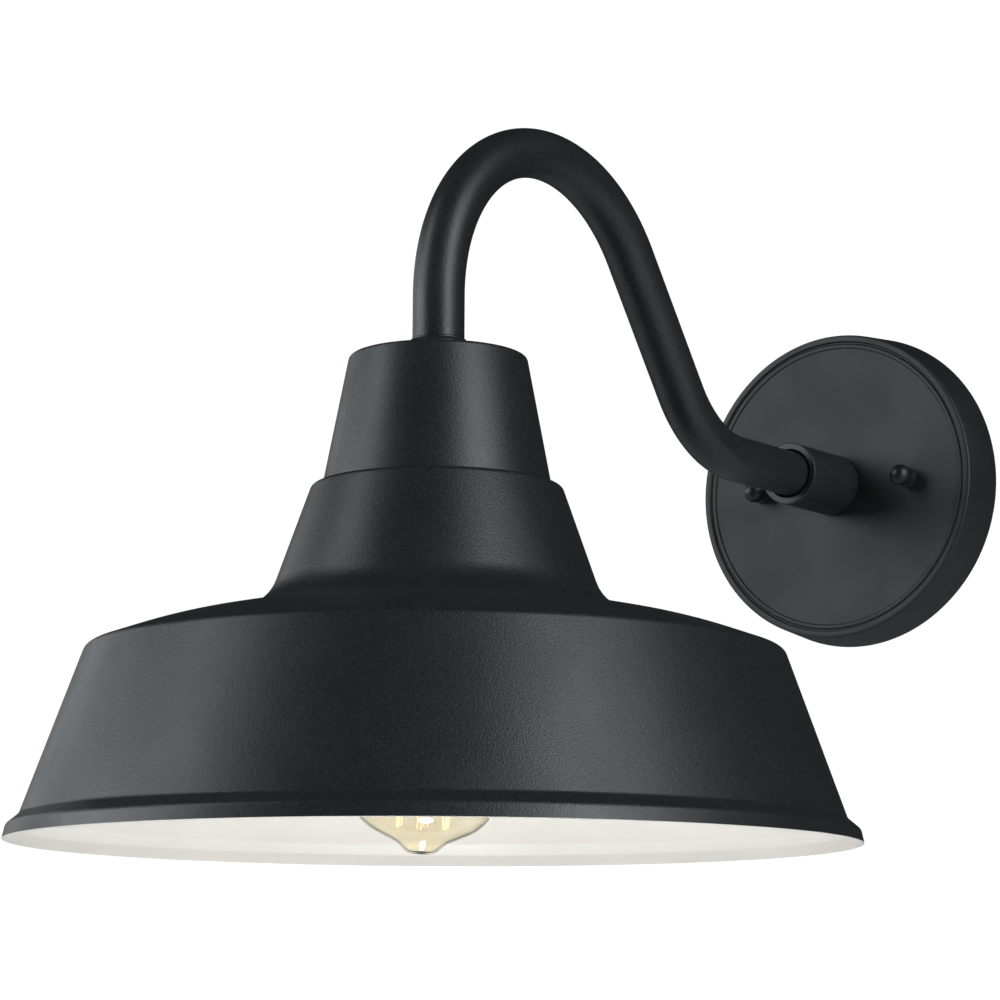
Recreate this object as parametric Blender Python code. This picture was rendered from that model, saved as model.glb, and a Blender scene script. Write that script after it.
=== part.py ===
"""Outdoor wall lantern: a round canopy, a gooseneck arm and a spun barn shade over a screw-in bulb.

Metres, +Z up. The wall is the plane y = 0, and the lantern stands out from it towards -Y. The origin
is the canopy's centre on the wall. The shade, lamp holder and bulb share the upright axis x = 0,
y = -REACH. Outlines of turned pieces are lists of (radius, height, fillet radius) corners: heights
are world z on the shade's axis, and distances from the wall on the canopy's axis.
"""

import math

import bmesh
import bpy
from mathutils import Matrix, Vector

# Driving dimensions
REACH = 0.3543
GAP = 0.0003

CANOPY_RADIUS = 0.0810
CANOPY_FRONT_RADIUS = 0.0786
CANOPY_DEPTH = 0.0265
CANOPY_FACE = 0.0256
CANOPY_BEAD = 0.0261
CANOPY_SHEET = 0.0015
CANOPY_REAR = 0.0025
GASKET_INNER_RADIUS = 0.0700
GASKET_OUTER_RADIUS = 0.0798

KNOB_SPACING = 0.0866
BALL_RADIUS = 0.00535
BALL_CENTRE = 0.0333
STUD_RADIUS = 0.00208
STUD_TIP = 0.0315

BAR_LENGTH = 0.1040
BAR_WIDTH = 0.0200
BAR_SHEET = 0.0015
BOX_SLOT_NEAR = 0.0340
BOX_SLOT_FAR = 0.0460
BOX_SLOT_RADIUS = 0.0024
GROUND_SCREW_X = 0.0230

SLEEVE_RADIUS = 0.0156
SLEEVE_FRONT = 0.0700
SLEEVE_SEAT = 0.0465

ARM_RADIUS = 0.0112
ARM_WALL = 0.0015
ARCH_RADIUS = 0.0800
ARCH_CENTRE_Z = 0.0360
ARM_DESCENT = math.radians(54.0)
LOWER_BEND_RADIUS = 0.0600
ARM_FOOT_Z = 0.0163
COLLAR_RADIUS = 0.0144

NIPPLE_RADIUS = 0.0048
NIPPLE_BORE = 0.0034
NIPPLE_NUT = 0.0150
NIPPLE_WASHER_RADIUS = 0.0088

CAP_TOP_Z = 0.0081
CAP_TOP_RADIUS = 0.0382
CAP_BOTTOM_Z = -0.0479
CAP_BOTTOM_RADIUS = 0.0488

STRAP_SHEET = 0.0015
STRAP_WIDTH = 0.0140
STRAP_SCREW_X = 0.0385
STRAP_SCREW_RADIUS = 0.0016
STRAP_SCREW_HOLE = 0.0019

SHEET = 0.0012
FLANGE_Z = -0.0482
FLANGE_HOLE_RADIUS = 0.0290
RIM_Z = -0.1993
RIM_RADIUS = 0.1782

HOLDER_TOP_Z = -0.0460
HOLDER_MOUTH_Z = -0.0920
HOLDER_FLOOR_Z = -0.0600
HOLDER_RADIUS = 0.0200
HOLDER_BORE = 0.0152
HOLDER_LEAD_X = 0.0060
HOLDER_SCREW_Y = 0.0135
HOLDER_SCREW_HOLE = 0.0019
BRACKET_PLATE_Z = -0.0270
BRACKET_SHEET = 0.0012
BRACKET_WIDTH = 0.0120
BRACKET_NUT = 0.0125

BULB_CONTACT_Z = -0.0629
BULB_CAP_TOP_Z = -0.0673
BULB_CAP_BOTTOM_Z = -0.0915
BULB_CAP_RADIUS = 0.0131
BULB_TIP_Z = -0.2034
BULB_RADIUS = 0.0322
GLASS_WALL = 0.0008
GLASS_NECK_RADIUS = 0.0119
GLASS_PIVOT_Z = -0.0890
GLASS_LEAN = math.radians(2.8)
GLASS_LEAN_WAY = Vector((-0.798, -0.603))
STEM_FOOT_Z = -0.0870
FILAMENT_TOP_Z = -0.1180
FILAMENT_BOTTOM_Z = -0.1895
FILAMENT_TOP_RADIUS = 0.0085
FILAMENT_BOTTOM_RADIUS = 0.0115
FILAMENT_TURNS = 12
FILAMENT_HOOK = 0.0008
FILAMENT_RADIUS = 0.0003

LEAD_RADIUS = 0.0010
LEAD_OFFSET = 0.0015
GROUND_LEAD_RADIUS = 0.0007
CONNECTOR_X = 0.0220
CONNECTOR_DEPTH = 0.0120

LARGE_ROUND = 40
MEDIUM_ROUND = 24
SMALL_ROUND = 16

TOWARDS_ROOM = Matrix.Rotation(math.radians(90.0), 4, "X")  # local +Z points along world -Y
UPRIGHT = Matrix.Identity(4)
UP = Vector((0.0, 0.0, 1.0))
INTO_WALL = Vector((0.0, 1.0, 0.0))
CANOPY_AXIS = Vector((0.0, 0.0, 0.0))
SHADE_AXIS = Vector((0.0, -REACH, 0.0))
SIDES = (("left", -1.0), ("right", 1.0))


def clear_scene():
    for old in list(bpy.data.objects):
        bpy.data.objects.remove(old, do_unlink=True)


def material(name, colour, roughness, metallic=0.0, transmission=0.0):
    made = bpy.data.materials.new(name)
    made.use_nodes = True
    shader = made.node_tree.nodes["Principled BSDF"]
    shader.inputs["Base Color"].default_value = (*colour, 1.0)
    shader.inputs["Roughness"].default_value = roughness
    shader.inputs["Metallic"].default_value = metallic
    shader.inputs["Transmission Weight"].default_value = transmission
    return made


def hanger(name, spot, parent=None):
    """An empty that pieces hang from. For pieces that move, it stands on their joint's axis."""
    made = bpy.data.objects.new(name, None)
    bpy.context.scene.collection.objects.link(made)
    made.parent = parent
    made.location = spot
    bpy.context.view_layer.update()
    return made


def place(name, mesh, finish, centre, turn, parent):
    """Links a mesh as an object. Its origin is at centre and its local axes follow turn."""
    mesh.materials.append(finish)
    made = bpy.data.objects.new(name, mesh)
    bpy.context.scene.collection.objects.link(made)
    made.parent = parent
    made.matrix_world = Matrix.Translation(centre) @ turn
    return made


def solid(name, shape, finish, centre, turn, parent):
    """Turns a bmesh into an object with outward faces, smooth but for its sharp edges."""
    bmesh.ops.recalc_face_normals(shape, faces=shape.faces)
    if shape.calc_volume(signed=True) < 0.0:
        bmesh.ops.reverse_faces(shape, faces=shape.faces)
    mesh = bpy.data.meshes.new(name)
    shape.to_mesh(mesh)
    shape.free()
    mesh.shade_smooth()
    mesh.set_sharp_from_angle(angle=math.radians(35.0))
    return place(name, mesh, finish, centre, turn, parent)


def rounded(corners, steps=3):
    """An outline through (x, y, fillet) corners, with an arc of a few steps at each fillet."""
    points = []
    for index, (x, y, fillet) in enumerate(corners):
        corner = Vector((x, y))
        if not fillet:
            points.append(corner)
            continue
        before = (Vector(corners[index - 1][:2]) - corner).normalized()
        after = (Vector(corners[(index + 1) % len(corners)][:2]) - corner).normalized()
        half = before.angle(after) / 2
        centre = corner + (before + after).normalized() * fillet / math.sin(half)
        start = corner + before * fillet / math.tan(half) - centre
        sweep = (math.pi - 2 * half) * math.copysign(1.0, start.cross(before + after) * -1.0)
        points += [centre + Matrix.Rotation(sweep * k / steps, 2) @ start for k in range(steps + 1)]
    return points


def sheet(outline, thickness):
    """A closed loop round an open outline and its copy, set off by the thickness to its right."""
    inner = []
    for index, point in enumerate(outline):
        ahead = outline[min(index + 1, len(outline) - 1)]
        behind = outline[max(index - 1, 0)]
        into = (point - behind).normalized() if index else (ahead - point).normalized()
        out = (ahead - point).normalized() if index < len(outline) - 1 else into
        normals = [Vector((way.y, -way.x)) for way in (into, out)]
        mitre = (normals[0] + normals[1]).normalized()
        inner.append(point + mitre * thickness / mitre.dot(normals[0]))
    return list(outline) + inner[::-1]


def turned(name, loop, finish, parent, centre=SHADE_AXIS, turn=UPRIGHT, round_steps=MEDIUM_ROUND):
    """A body of revolution about local Z from a loop of (radius, height) points."""
    shape = bmesh.new()
    points = [shape.verts.new((p[0], 0.0, p[1])) for p in loop]
    edges = [shape.edges.new(pair) for pair in zip(points[:-1], points[1:])]
    if loop[0][0] > 0.0 or loop[-1][0] > 0.0:
        edges.append(shape.edges.new((points[-1], points[0])))
    bmesh.ops.spin(
        shape,
        geom=points + edges,
        cent=(0.0, 0.0, 0.0),
        axis=(0.0, 0.0, 1.0),
        angle=math.tau,
        steps=round_steps,
        use_merge=True,
    )
    bmesh.ops.remove_doubles(shape, verts=shape.verts, dist=1e-7)
    return solid(name, shape, finish, centre, turn, parent)


def ring(outer, inner, low, high):
    """The loop of a plain ring or tube."""
    return [(outer, high), (outer, low), (inner, low), (inner, high)]


def prism(name, outline, low, high, finish, parent, centre, turn):
    """An outline of (x, y) points, extruded along local Z."""
    shape = bmesh.new()
    face = shape.faces.new([shape.verts.new((p[0], p[1], low)) for p in outline])
    risen = bmesh.ops.extrude_face_region(shape, geom=[face])
    moved = [part for part in risen["geom"] if isinstance(part, bmesh.types.BMVert)]
    bmesh.ops.translate(shape, verts=moved, vec=(0.0, 0.0, high - low))
    return solid(name, shape, finish, centre, turn, parent)


def bent_strap(name, corners, thickness, width, plane, finish, parent):
    """A flat strap bent in the XZ or YZ plane, centred on the shade's axis."""
    loop = sheet(rounded(corners, 2), thickness)
    turn = TOWARDS_ROOM if plane == "XZ" else Matrix.Rotation(math.radians(90.0), 4, "Z") @ TOWARDS_ROOM
    return prism(name, loop, -width / 2, width / 2, finish, parent, SHADE_AXIS, turn)


def nut(name, across_flats, hole, low, high, finish, parent, centre, turn):
    """A hexagonal nut with a round hole."""
    shape = bmesh.new()
    loops = []
    for height in (low, high):
        hexagon, circle = [], []
        for step in range(12):
            angle = math.tau * step / 12
            reach = across_flats / 2 / (math.cos(math.radians(30.0)) if step % 2 else 1.0)
            hexagon.append(shape.verts.new((reach * math.cos(angle), reach * math.sin(angle), height)))
            circle.append(shape.verts.new((hole * math.cos(angle), hole * math.sin(angle), height)))
        loops += [hexagon, circle]
    low_hexagon, low_circle, high_hexagon, high_circle = loops
    walls = (
        (low_hexagon, high_hexagon),
        (high_hexagon, high_circle),
        (high_circle, low_circle),
        (low_circle, low_hexagon),
    )
    for first, second in walls:
        for step in range(12):
            following = (step + 1) % 12
            shape.faces.new((first[step], first[following], second[following], second[step]))
    return solid(name, shape, finish, centre, turn, parent)


def bore(target, radius, at, along, length=0.05, stretch=0.0):
    """Cuts a round hole, or a slot if it is stretched along world Z, through an object."""
    shape = bmesh.new()
    bmesh.ops.create_cone(
        shape, cap_ends=True, segments=SMALL_ROUND, radius1=radius, radius2=radius, depth=length
    )
    shape.transform(Vector((0.0, 0.0, 1.0)).rotation_difference(along).to_matrix().to_4x4())
    for vertex in shape.verts:
        vertex.co.z += math.copysign(stretch / 2, vertex.co.z) if stretch else 0.0
    cutter = solid(f"{target.name}_cutter", shape, target.data.materials[0], at, UPRIGHT, None)
    cutter.hide_render = True
    cutter.display_type = "WIRE"
    cut = target.modifiers.new("hole", "BOOLEAN")
    cut.operation = "DIFFERENCE"
    cut.object = cutter


def swept_tube(name, path, outer, inner, sides, finish, parent):
    """A hollow tube along a path of (y, z) points in the plane x = 0."""
    shape = bmesh.new()
    rings = []
    for index, point in enumerate(path):
        ahead = path[min(index + 1, len(path) - 1)]
        behind = path[max(index - 1, 0)]
        way = (ahead - behind).normalized()
        across = Vector((0.0, -way.y, way.x))
        spot = Vector((0.0, point.x, point.y))
        loops = []
        for radius in (outer, inner):
            angles = [math.tau * side / sides for side in range(sides)]
            offsets = [Vector((math.cos(a), 0.0, 0.0)) + across * math.sin(a) for a in angles]
            loops.append([shape.verts.new(spot + offset * radius) for offset in offsets])
        rings.append(loops)
    pairs = [(low[wall], high[wall]) for wall in (0, 1) for low, high in zip(rings[:-1], rings[1:])]
    pairs += [(rings[0][0], rings[0][1]), (rings[-1][0], rings[-1][1])]
    for first, second in pairs:
        for side in range(sides):
            following = (side + 1) % sides
            shape.faces.new((first[side], first[following], second[following], second[side]))
    return solid(name, shape, finish, Vector(), UPRIGHT, parent)


def smooth_path(knots, spacing):
    """Points at about even spacing on a Catmull-Rom curve through the knots."""
    knots = [Vector(knot) for knot in knots]
    padded = [2 * knots[0] - knots[1], *knots, 2 * knots[-1] - knots[-2]]
    points = []
    for a, b, c, d in zip(padded[:-3], padded[1:-2], padded[2:-1], padded[3:]):
        steps = max(1, round((c - b).length / spacing))
        for step in range(steps):
            t = step / steps
            bend = (2 * a - 5 * b + 4 * c - d) * t + (3 * b - a - 3 * c + d) * t * t
            points.append(b + ((c - a) + bend) * t / 2)
    return points + [knots[-1]]


def wire(name, points, radius, finish, parent, closed=False, resolution=1):
    """A round wire along points, as a curve with filled ends."""
    curve = bpy.data.curves.new(name, "CURVE")
    curve.dimensions = "3D"
    curve.bevel_depth = radius
    curve.bevel_resolution = resolution
    curve.use_fill_caps = True
    spline = curve.splines.new("POLY")
    spline.points.add(len(points) - 1)
    for spot, point in zip(spline.points, points):
        spot.co = (*point, 1.0)
    spline.use_cyclic_u = closed
    return place(name, curve, finish, Vector(), UPRIGHT, parent)


def arm_path(steps_per_turn=40):
    """The arm's centreline as (y, z): up from the shade, over the arch, down and into the sleeve."""
    arch = Vector((-REACH + ARCH_RADIUS, ARCH_CENTRE_Z))
    sweep = math.pi / 2 + ARM_DESCENT
    steps = round(sweep / math.tau * steps_per_turn)
    points = [Vector((-REACH, ARM_FOOT_Z))]
    for step in range(steps + 1):
        angle = math.pi - sweep * step / steps
        points.append(arch + ARCH_RADIUS * Vector((math.cos(angle), math.sin(angle))))
    level_y = points[-1].x + points[-1].y / math.tan(ARM_DESCENT)
    bend = Vector((level_y + LOWER_BEND_RADIUS * math.tan(ARM_DESCENT / 2), LOWER_BEND_RADIUS))
    steps = round(ARM_DESCENT / math.tau * steps_per_turn)
    for step in range(steps + 1):
        angle = -math.pi / 2 - ARM_DESCENT * (1 - step / steps)
        points.append(bend + LOWER_BEND_RADIUS * Vector((math.cos(angle), math.sin(angle))))
    return points + [Vector((-SLEEVE_SEAT - GAP, 0.0))]


def build_canopy(finishes, fixture):
    hole = NIPPLE_RADIUS + GAP
    front = CANOPY_FRONT_RADIUS
    groove = CANOPY_FACE - 0.0002
    outer = [
        (hole, CANOPY_FACE, 0),
        (front - 0.0070, CANOPY_FACE, 0),
        (front - 0.0064, CANOPY_BEAD, 0),
        (front - 0.0050, CANOPY_BEAD, 0),
        (front - 0.0043, groove, 0),
        (front - 0.0037, groove, 0),
        (front - 0.0032, CANOPY_DEPTH, 0),
        (front, CANOPY_DEPTH, 0.0012),
        (CANOPY_RADIUS, CANOPY_REAR, 0),
    ]
    inside = [
        (CANOPY_RADIUS - CANOPY_SHEET, CANOPY_REAR),
        (front - CANOPY_SHEET, groove - CANOPY_SHEET),
        (hole, CANOPY_FACE - CANOPY_SHEET),
    ]
    canopy = turned(
        "canopy",
        rounded(outer, 1) + inside,
        finishes["satin_black"],
        fixture,
        CANOPY_AXIS,
        TOWARDS_ROOM,
        LARGE_ROUND,
    )
    for _, side in SIDES:
        spot = Vector((side * KNOB_SPACING / 2, -CANOPY_FACE, 0.0))
        bore(canopy, STUD_RADIUS + 2 * GAP, spot, INTO_WALL, 0.01)
    turned(
        "canopy_gasket",
        ring(GASKET_OUTER_RADIUS, GASKET_INNER_RADIUS, 0.0, CANOPY_REAR - GAP),
        finishes["foam"],
        fixture,
        CANOPY_AXIS,
        TOWARDS_ROOM,
        LARGE_ROUND,
    )


def build_knobs(finishes, fixture):
    washer_low = CANOPY_FACE + GAP
    washer_high = washer_low + 0.0008
    base = washer_high + GAP
    hole = STUD_RADIUS + GAP
    ball = [
        (BALL_RADIUS * math.cos(angle), BALL_CENTRE + BALL_RADIUS * math.sin(angle))
        for angle in (math.radians(90.0 - 24.0 * step) for step in range(6))
    ]
    ball[0] = (0.0, BALL_CENTRE + BALL_RADIUS)
    neck = [
        (0.0031, BALL_CENTRE - 0.0041),
        (0.0031, base + 0.0016),
        (0.0046, base + 0.0010),
        (0.0046, base),
    ]
    hollow = [(hole, base), (hole, STUD_TIP + 0.0010), (0.0, STUD_TIP + 0.0016)]
    for label, side in SIDES:
        spot = Vector((side * KNOB_SPACING / 2, 0.0, 0.0))
        turned(
            f"knob_{label}",
            ball + neck + hollow,
            finishes["gloss_black"],
            fixture,
            spot,
            TOWARDS_ROOM,
            SMALL_ROUND,
        )
        turned(
            f"knob_washer_{label}",
            ring(0.0052, hole, washer_low, washer_high),
            finishes["rubber"],
            fixture,
            spot,
            TOWARDS_ROOM,
            SMALL_ROUND,
        )


def build_crossbar(finishes, fixture):
    half_length = BAR_LENGTH / 2
    half_width = BAR_WIDTH / 2
    upright = [
        (-half_width, -half_length, 0.004),
        (half_width, -half_length, 0.004),
        (half_width, half_length, 0.004),
        (-half_width, half_length, 0.004),
    ]
    level = [(-y, x, fillet) for x, y, fillet in upright]
    centre_hole = NIPPLE_RADIUS + 2 * GAP
    bars = (
        ("box_bar", upright, 0.0),
        ("fixture_bar", level, BAR_SHEET + GAP),
    )
    made = {}
    for name, corners, low in bars:
        outline = rounded(corners)
        high = low + BAR_SHEET
        made[name] = prism(name, outline, low, high, finishes["zinc"], fixture, CANOPY_AXIS, TOWARDS_ROOM)
        bore(made[name], centre_hole, Vector(), INTO_WALL)
    for side in (-1.0, 1.0):
        spot = Vector((0.0, 0.0, side * (BOX_SLOT_NEAR + BOX_SLOT_FAR) / 2))
        slot = BOX_SLOT_FAR - BOX_SLOT_NEAR - 2 * BOX_SLOT_RADIUS
        bore(made["box_bar"], BOX_SLOT_RADIUS, spot, INTO_WALL, stretch=slot)
    bar_front = 2 * BAR_SHEET + GAP
    turned(
        "bar_eyelet",
        [
            (0.0078, bar_front + GAP + 0.0008),
            (0.0078, bar_front + GAP),
            (centre_hole - GAP, bar_front + GAP),
            (centre_hole - GAP, GAP),
            (0.0042, GAP),
            (0.0042, bar_front + GAP + 0.0008),
        ],
        finishes["zinc"],
        fixture,
        CANOPY_AXIS,
        TOWARDS_ROOM,
        MEDIUM_ROUND,
    )
    for label, side in SIDES:
        spot = Vector((side * KNOB_SPACING / 2, 0.0, 0.0))
        bore(made["fixture_bar"], STUD_RADIUS + GAP, spot, INTO_WALL)
        turned(
            f"stud_{label}",
            [(0.0, STUD_TIP), (STUD_RADIUS, STUD_TIP - 0.0008), (STUD_RADIUS, 0.0010), (0.0, 0.0010)],
            finishes["zinc"],
            fixture,
            spot,
            TOWARDS_ROOM,
            SMALL_ROUND,
        )
        nut(
            f"stud_nut_{label}",
            0.0087,
            STUD_RADIUS + GAP,
            bar_front + GAP,
            bar_front + GAP + 0.0030,
            finishes["zinc"],
            fixture,
            spot,
            TOWARDS_ROOM,
        )
    ground = Vector((GROUND_SCREW_X, 0.0, 0.0))
    bore(made["fixture_bar"], 0.0019, ground, INTO_WALL)
    turned(
        "ground_screw",
        [
            (0.0, bar_front + 0.0044),
            (0.0024, bar_front + 0.0042),
            (0.0042, bar_front + 0.0032),
            (0.0042, bar_front + 0.0024),
            (0.0016, bar_front + 0.0024),
            (0.0016, BAR_SHEET + GAP),
            (0.0, BAR_SHEET + GAP),
        ],
        finishes["green"],
        fixture,
        ground,
        TOWARDS_ROOM,
        SMALL_ROUND,
    )


def build_sleeve(finishes, fixture):
    hole = NIPPLE_RADIUS + GAP
    rear = CANOPY_FACE + GAP
    arm_bore = ARM_RADIUS + GAP + 0.0002
    outer = [
        (hole, rear, 0),
        (SLEEVE_RADIUS, rear, 0.0025),
        (SLEEVE_RADIUS, SLEEVE_FRONT, 0.0006),
        (arm_bore + 0.0008, SLEEVE_FRONT, 0),
        (arm_bore, SLEEVE_FRONT - 0.0012, 0),
        (arm_bore, SLEEVE_SEAT, 0),
        (hole, SLEEVE_SEAT, 0),
    ]
    sleeve = turned(
        "arm_sleeve",
        rounded(outer),
        finishes["powder_black"],
        fixture,
        CANOPY_AXIS,
        TOWARDS_ROOM,
        MEDIUM_ROUND,
    )
    screw_at = Vector((-0.0135, -0.0560, 0.0))
    bore(sleeve, 0.0024, screw_at, Vector((1.0, 0.0, 0.0)), 0.0050)
    turned(
        "sleeve_set_screw",
        [(0.0, 0.0016), (0.0021, 0.0016), (0.0021, -0.0016), (0.0, -0.0016)],
        finishes["zinc"],
        fixture,
        screw_at + Vector((-0.0001, 0.0, 0.0)),
        Matrix.Rotation(math.radians(90.0), 4, "Y"),
        12,
    )
    turned(
        "canopy_nipple",
        ring(NIPPLE_RADIUS, NIPPLE_BORE, 0.0110, SLEEVE_SEAT - 0.0010),
        finishes["zinc"],
        fixture,
        CANOPY_AXIS,
        TOWARDS_ROOM,
        SMALL_ROUND,
    )
    inside = CANOPY_FACE - CANOPY_SHEET - GAP
    turned(
        "ground_terminal",
        ring(0.0078, hole, inside - 0.0008, inside),
        finishes["brass"],
        fixture,
        CANOPY_AXIS,
        TOWARDS_ROOM,
        SMALL_ROUND,
    )
    turned(
        "canopy_washer",
        ring(NIPPLE_WASHER_RADIUS, hole, inside - 0.0020, inside - 0.0008 - GAP),
        finishes["zinc"],
        fixture,
        CANOPY_AXIS,
        TOWARDS_ROOM,
        SMALL_ROUND,
    )
    nut(
        "canopy_nut",
        NIPPLE_NUT,
        hole,
        inside - 0.0058,
        inside - 0.0020 - GAP,
        finishes["zinc"],
        fixture,
        CANOPY_AXIS,
        TOWARDS_ROOM,
    )


def build_arm(finishes, fixture):
    swept_tube(
        "arm_tube",
        arm_path(),
        ARM_RADIUS,
        ARM_RADIUS - ARM_WALL,
        SMALL_ROUND,
        finishes["powder_black"],
        fixture,
    )
    hole = NIPPLE_RADIUS + GAP
    collar_low = CAP_TOP_Z + GAP
    turned(
        "arm_collar",
        [
            (0.0120, ARM_FOOT_Z - GAP),
            (0.0120, ARM_FOOT_Z - 0.0010),
            (COLLAR_RADIUS, ARM_FOOT_Z - 0.0026),
            (COLLAR_RADIUS, collar_low),
            (hole, collar_low),
            (hole, ARM_FOOT_Z + 0.0100),
            (ARM_RADIUS - ARM_WALL - GAP - 0.0002, ARM_FOOT_Z + 0.0100),
            (ARM_RADIUS - ARM_WALL - GAP - 0.0002, ARM_FOOT_Z - GAP),
        ],
        finishes["powder_black"],
        fixture,
    )


def build_cap(finishes, fixture):
    hole = NIPPLE_RADIUS + GAP
    outer = [
        (hole, CAP_TOP_Z, 0),
        (CAP_TOP_RADIUS, CAP_TOP_Z, 0.0020),
        (CAP_BOTTOM_RADIUS, CAP_BOTTOM_Z, 0),
    ]
    turned(
        "neck_cap",
        sheet(rounded(outer, 2), SHEET),
        finishes["powder_black"],
        fixture,
        round_steps=LARGE_ROUND,
    )
    ceiling = CAP_TOP_Z - SHEET - GAP
    strap_low = ceiling - STRAP_SHEET
    turned(
        "shade_nipple",
        ring(NIPPLE_RADIUS, NIPPLE_BORE, -0.0350, ARM_FOOT_Z + 0.0090),
        finishes["zinc"],
        fixture,
        round_steps=SMALL_ROUND,
    )
    turned(
        "cap_washer",
        ring(NIPPLE_WASHER_RADIUS, hole, strap_low - GAP - 0.0010, strap_low - GAP),
        finishes["zinc"],
        fixture,
        round_steps=SMALL_ROUND,
    )
    nut_top = strap_low - 2 * GAP - 0.0010
    nut(
        "cap_nut",
        NIPPLE_NUT,
        hole,
        nut_top - 0.0040,
        nut_top,
        finishes["zinc"],
        fixture,
        SHADE_AXIS,
        UPRIGHT,
    )
    foot_high = FLANGE_Z + GAP + STRAP_SHEET
    strap_outline = [
        (-0.0450, foot_high, 0),
        (-0.0320, foot_high, 0.0020),
        (-0.0290, ceiling, 0.0030),
        (0.0290, ceiling, 0.0030),
        (0.0320, foot_high, 0.0020),
        (0.0450, foot_high, 0),
    ]
    strap = bent_strap(
        "shade_strap", strap_outline, STRAP_SHEET, STRAP_WIDTH, "XZ", finishes["zinc"], fixture
    )
    bore(strap, hole, SHADE_AXIS + UP * ceiling, UP, 0.01)
    for label, side in SIDES:
        spot = SHADE_AXIS + Vector((side * STRAP_SCREW_X, 0.0, 0.0))
        bore(strap, STRAP_SCREW_HOLE, spot + UP * foot_high, UP, 0.01)
        turned(
            f"strap_screw_{label}",
            [
                (0.0, foot_high + 0.0045),
                (STRAP_SCREW_RADIUS, foot_high + 0.0045),
                (STRAP_SCREW_RADIUS, FLANGE_Z - SHEET - GAP),
                (0.0036, FLANGE_Z - SHEET - GAP),
                (0.0030, FLANGE_Z - SHEET - GAP - 0.0020),
                (0.0, FLANGE_Z - SHEET - GAP - 0.0024),
            ],
            finishes["zinc"],
            fixture,
            spot,
            UPRIGHT,
            12,
        )
        nut(
            f"strap_nut_{label}",
            0.0079,
            STRAP_SCREW_HOLE,
            foot_high + GAP,
            foot_high + GAP + 0.0030,
            finishes["zinc"],
            fixture,
            spot,
            UPRIGHT,
        )


def build_shade(finishes, fixture):
    outline = [
        (FLANGE_HOLE_RADIUS, FLANGE_Z, 0),
        (0.0534, FLANGE_Z, 0.0030),
        (0.0715, -0.0999, 0.0200),
        (0.1194, -0.1101, 0.2140),
        (0.1469, -0.1198, 0.0040),
        (0.1717, -0.1894, 0.0032),
        (0.1770, -0.1938, 0.0031),
        (RIM_RADIUS, RIM_Z, 0),
    ]
    shade = turned(
        "shade",
        sheet(rounded(outline, 2), SHEET),
        finishes["powder_black"],
        fixture,
        round_steps=LARGE_ROUND,
    )
    for _, side in SIDES:
        spot = SHADE_AXIS + Vector((side * STRAP_SCREW_X, 0.0, FLANGE_Z))
        bore(shade, STRAP_SCREW_HOLE, spot, UP, 0.01)


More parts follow.
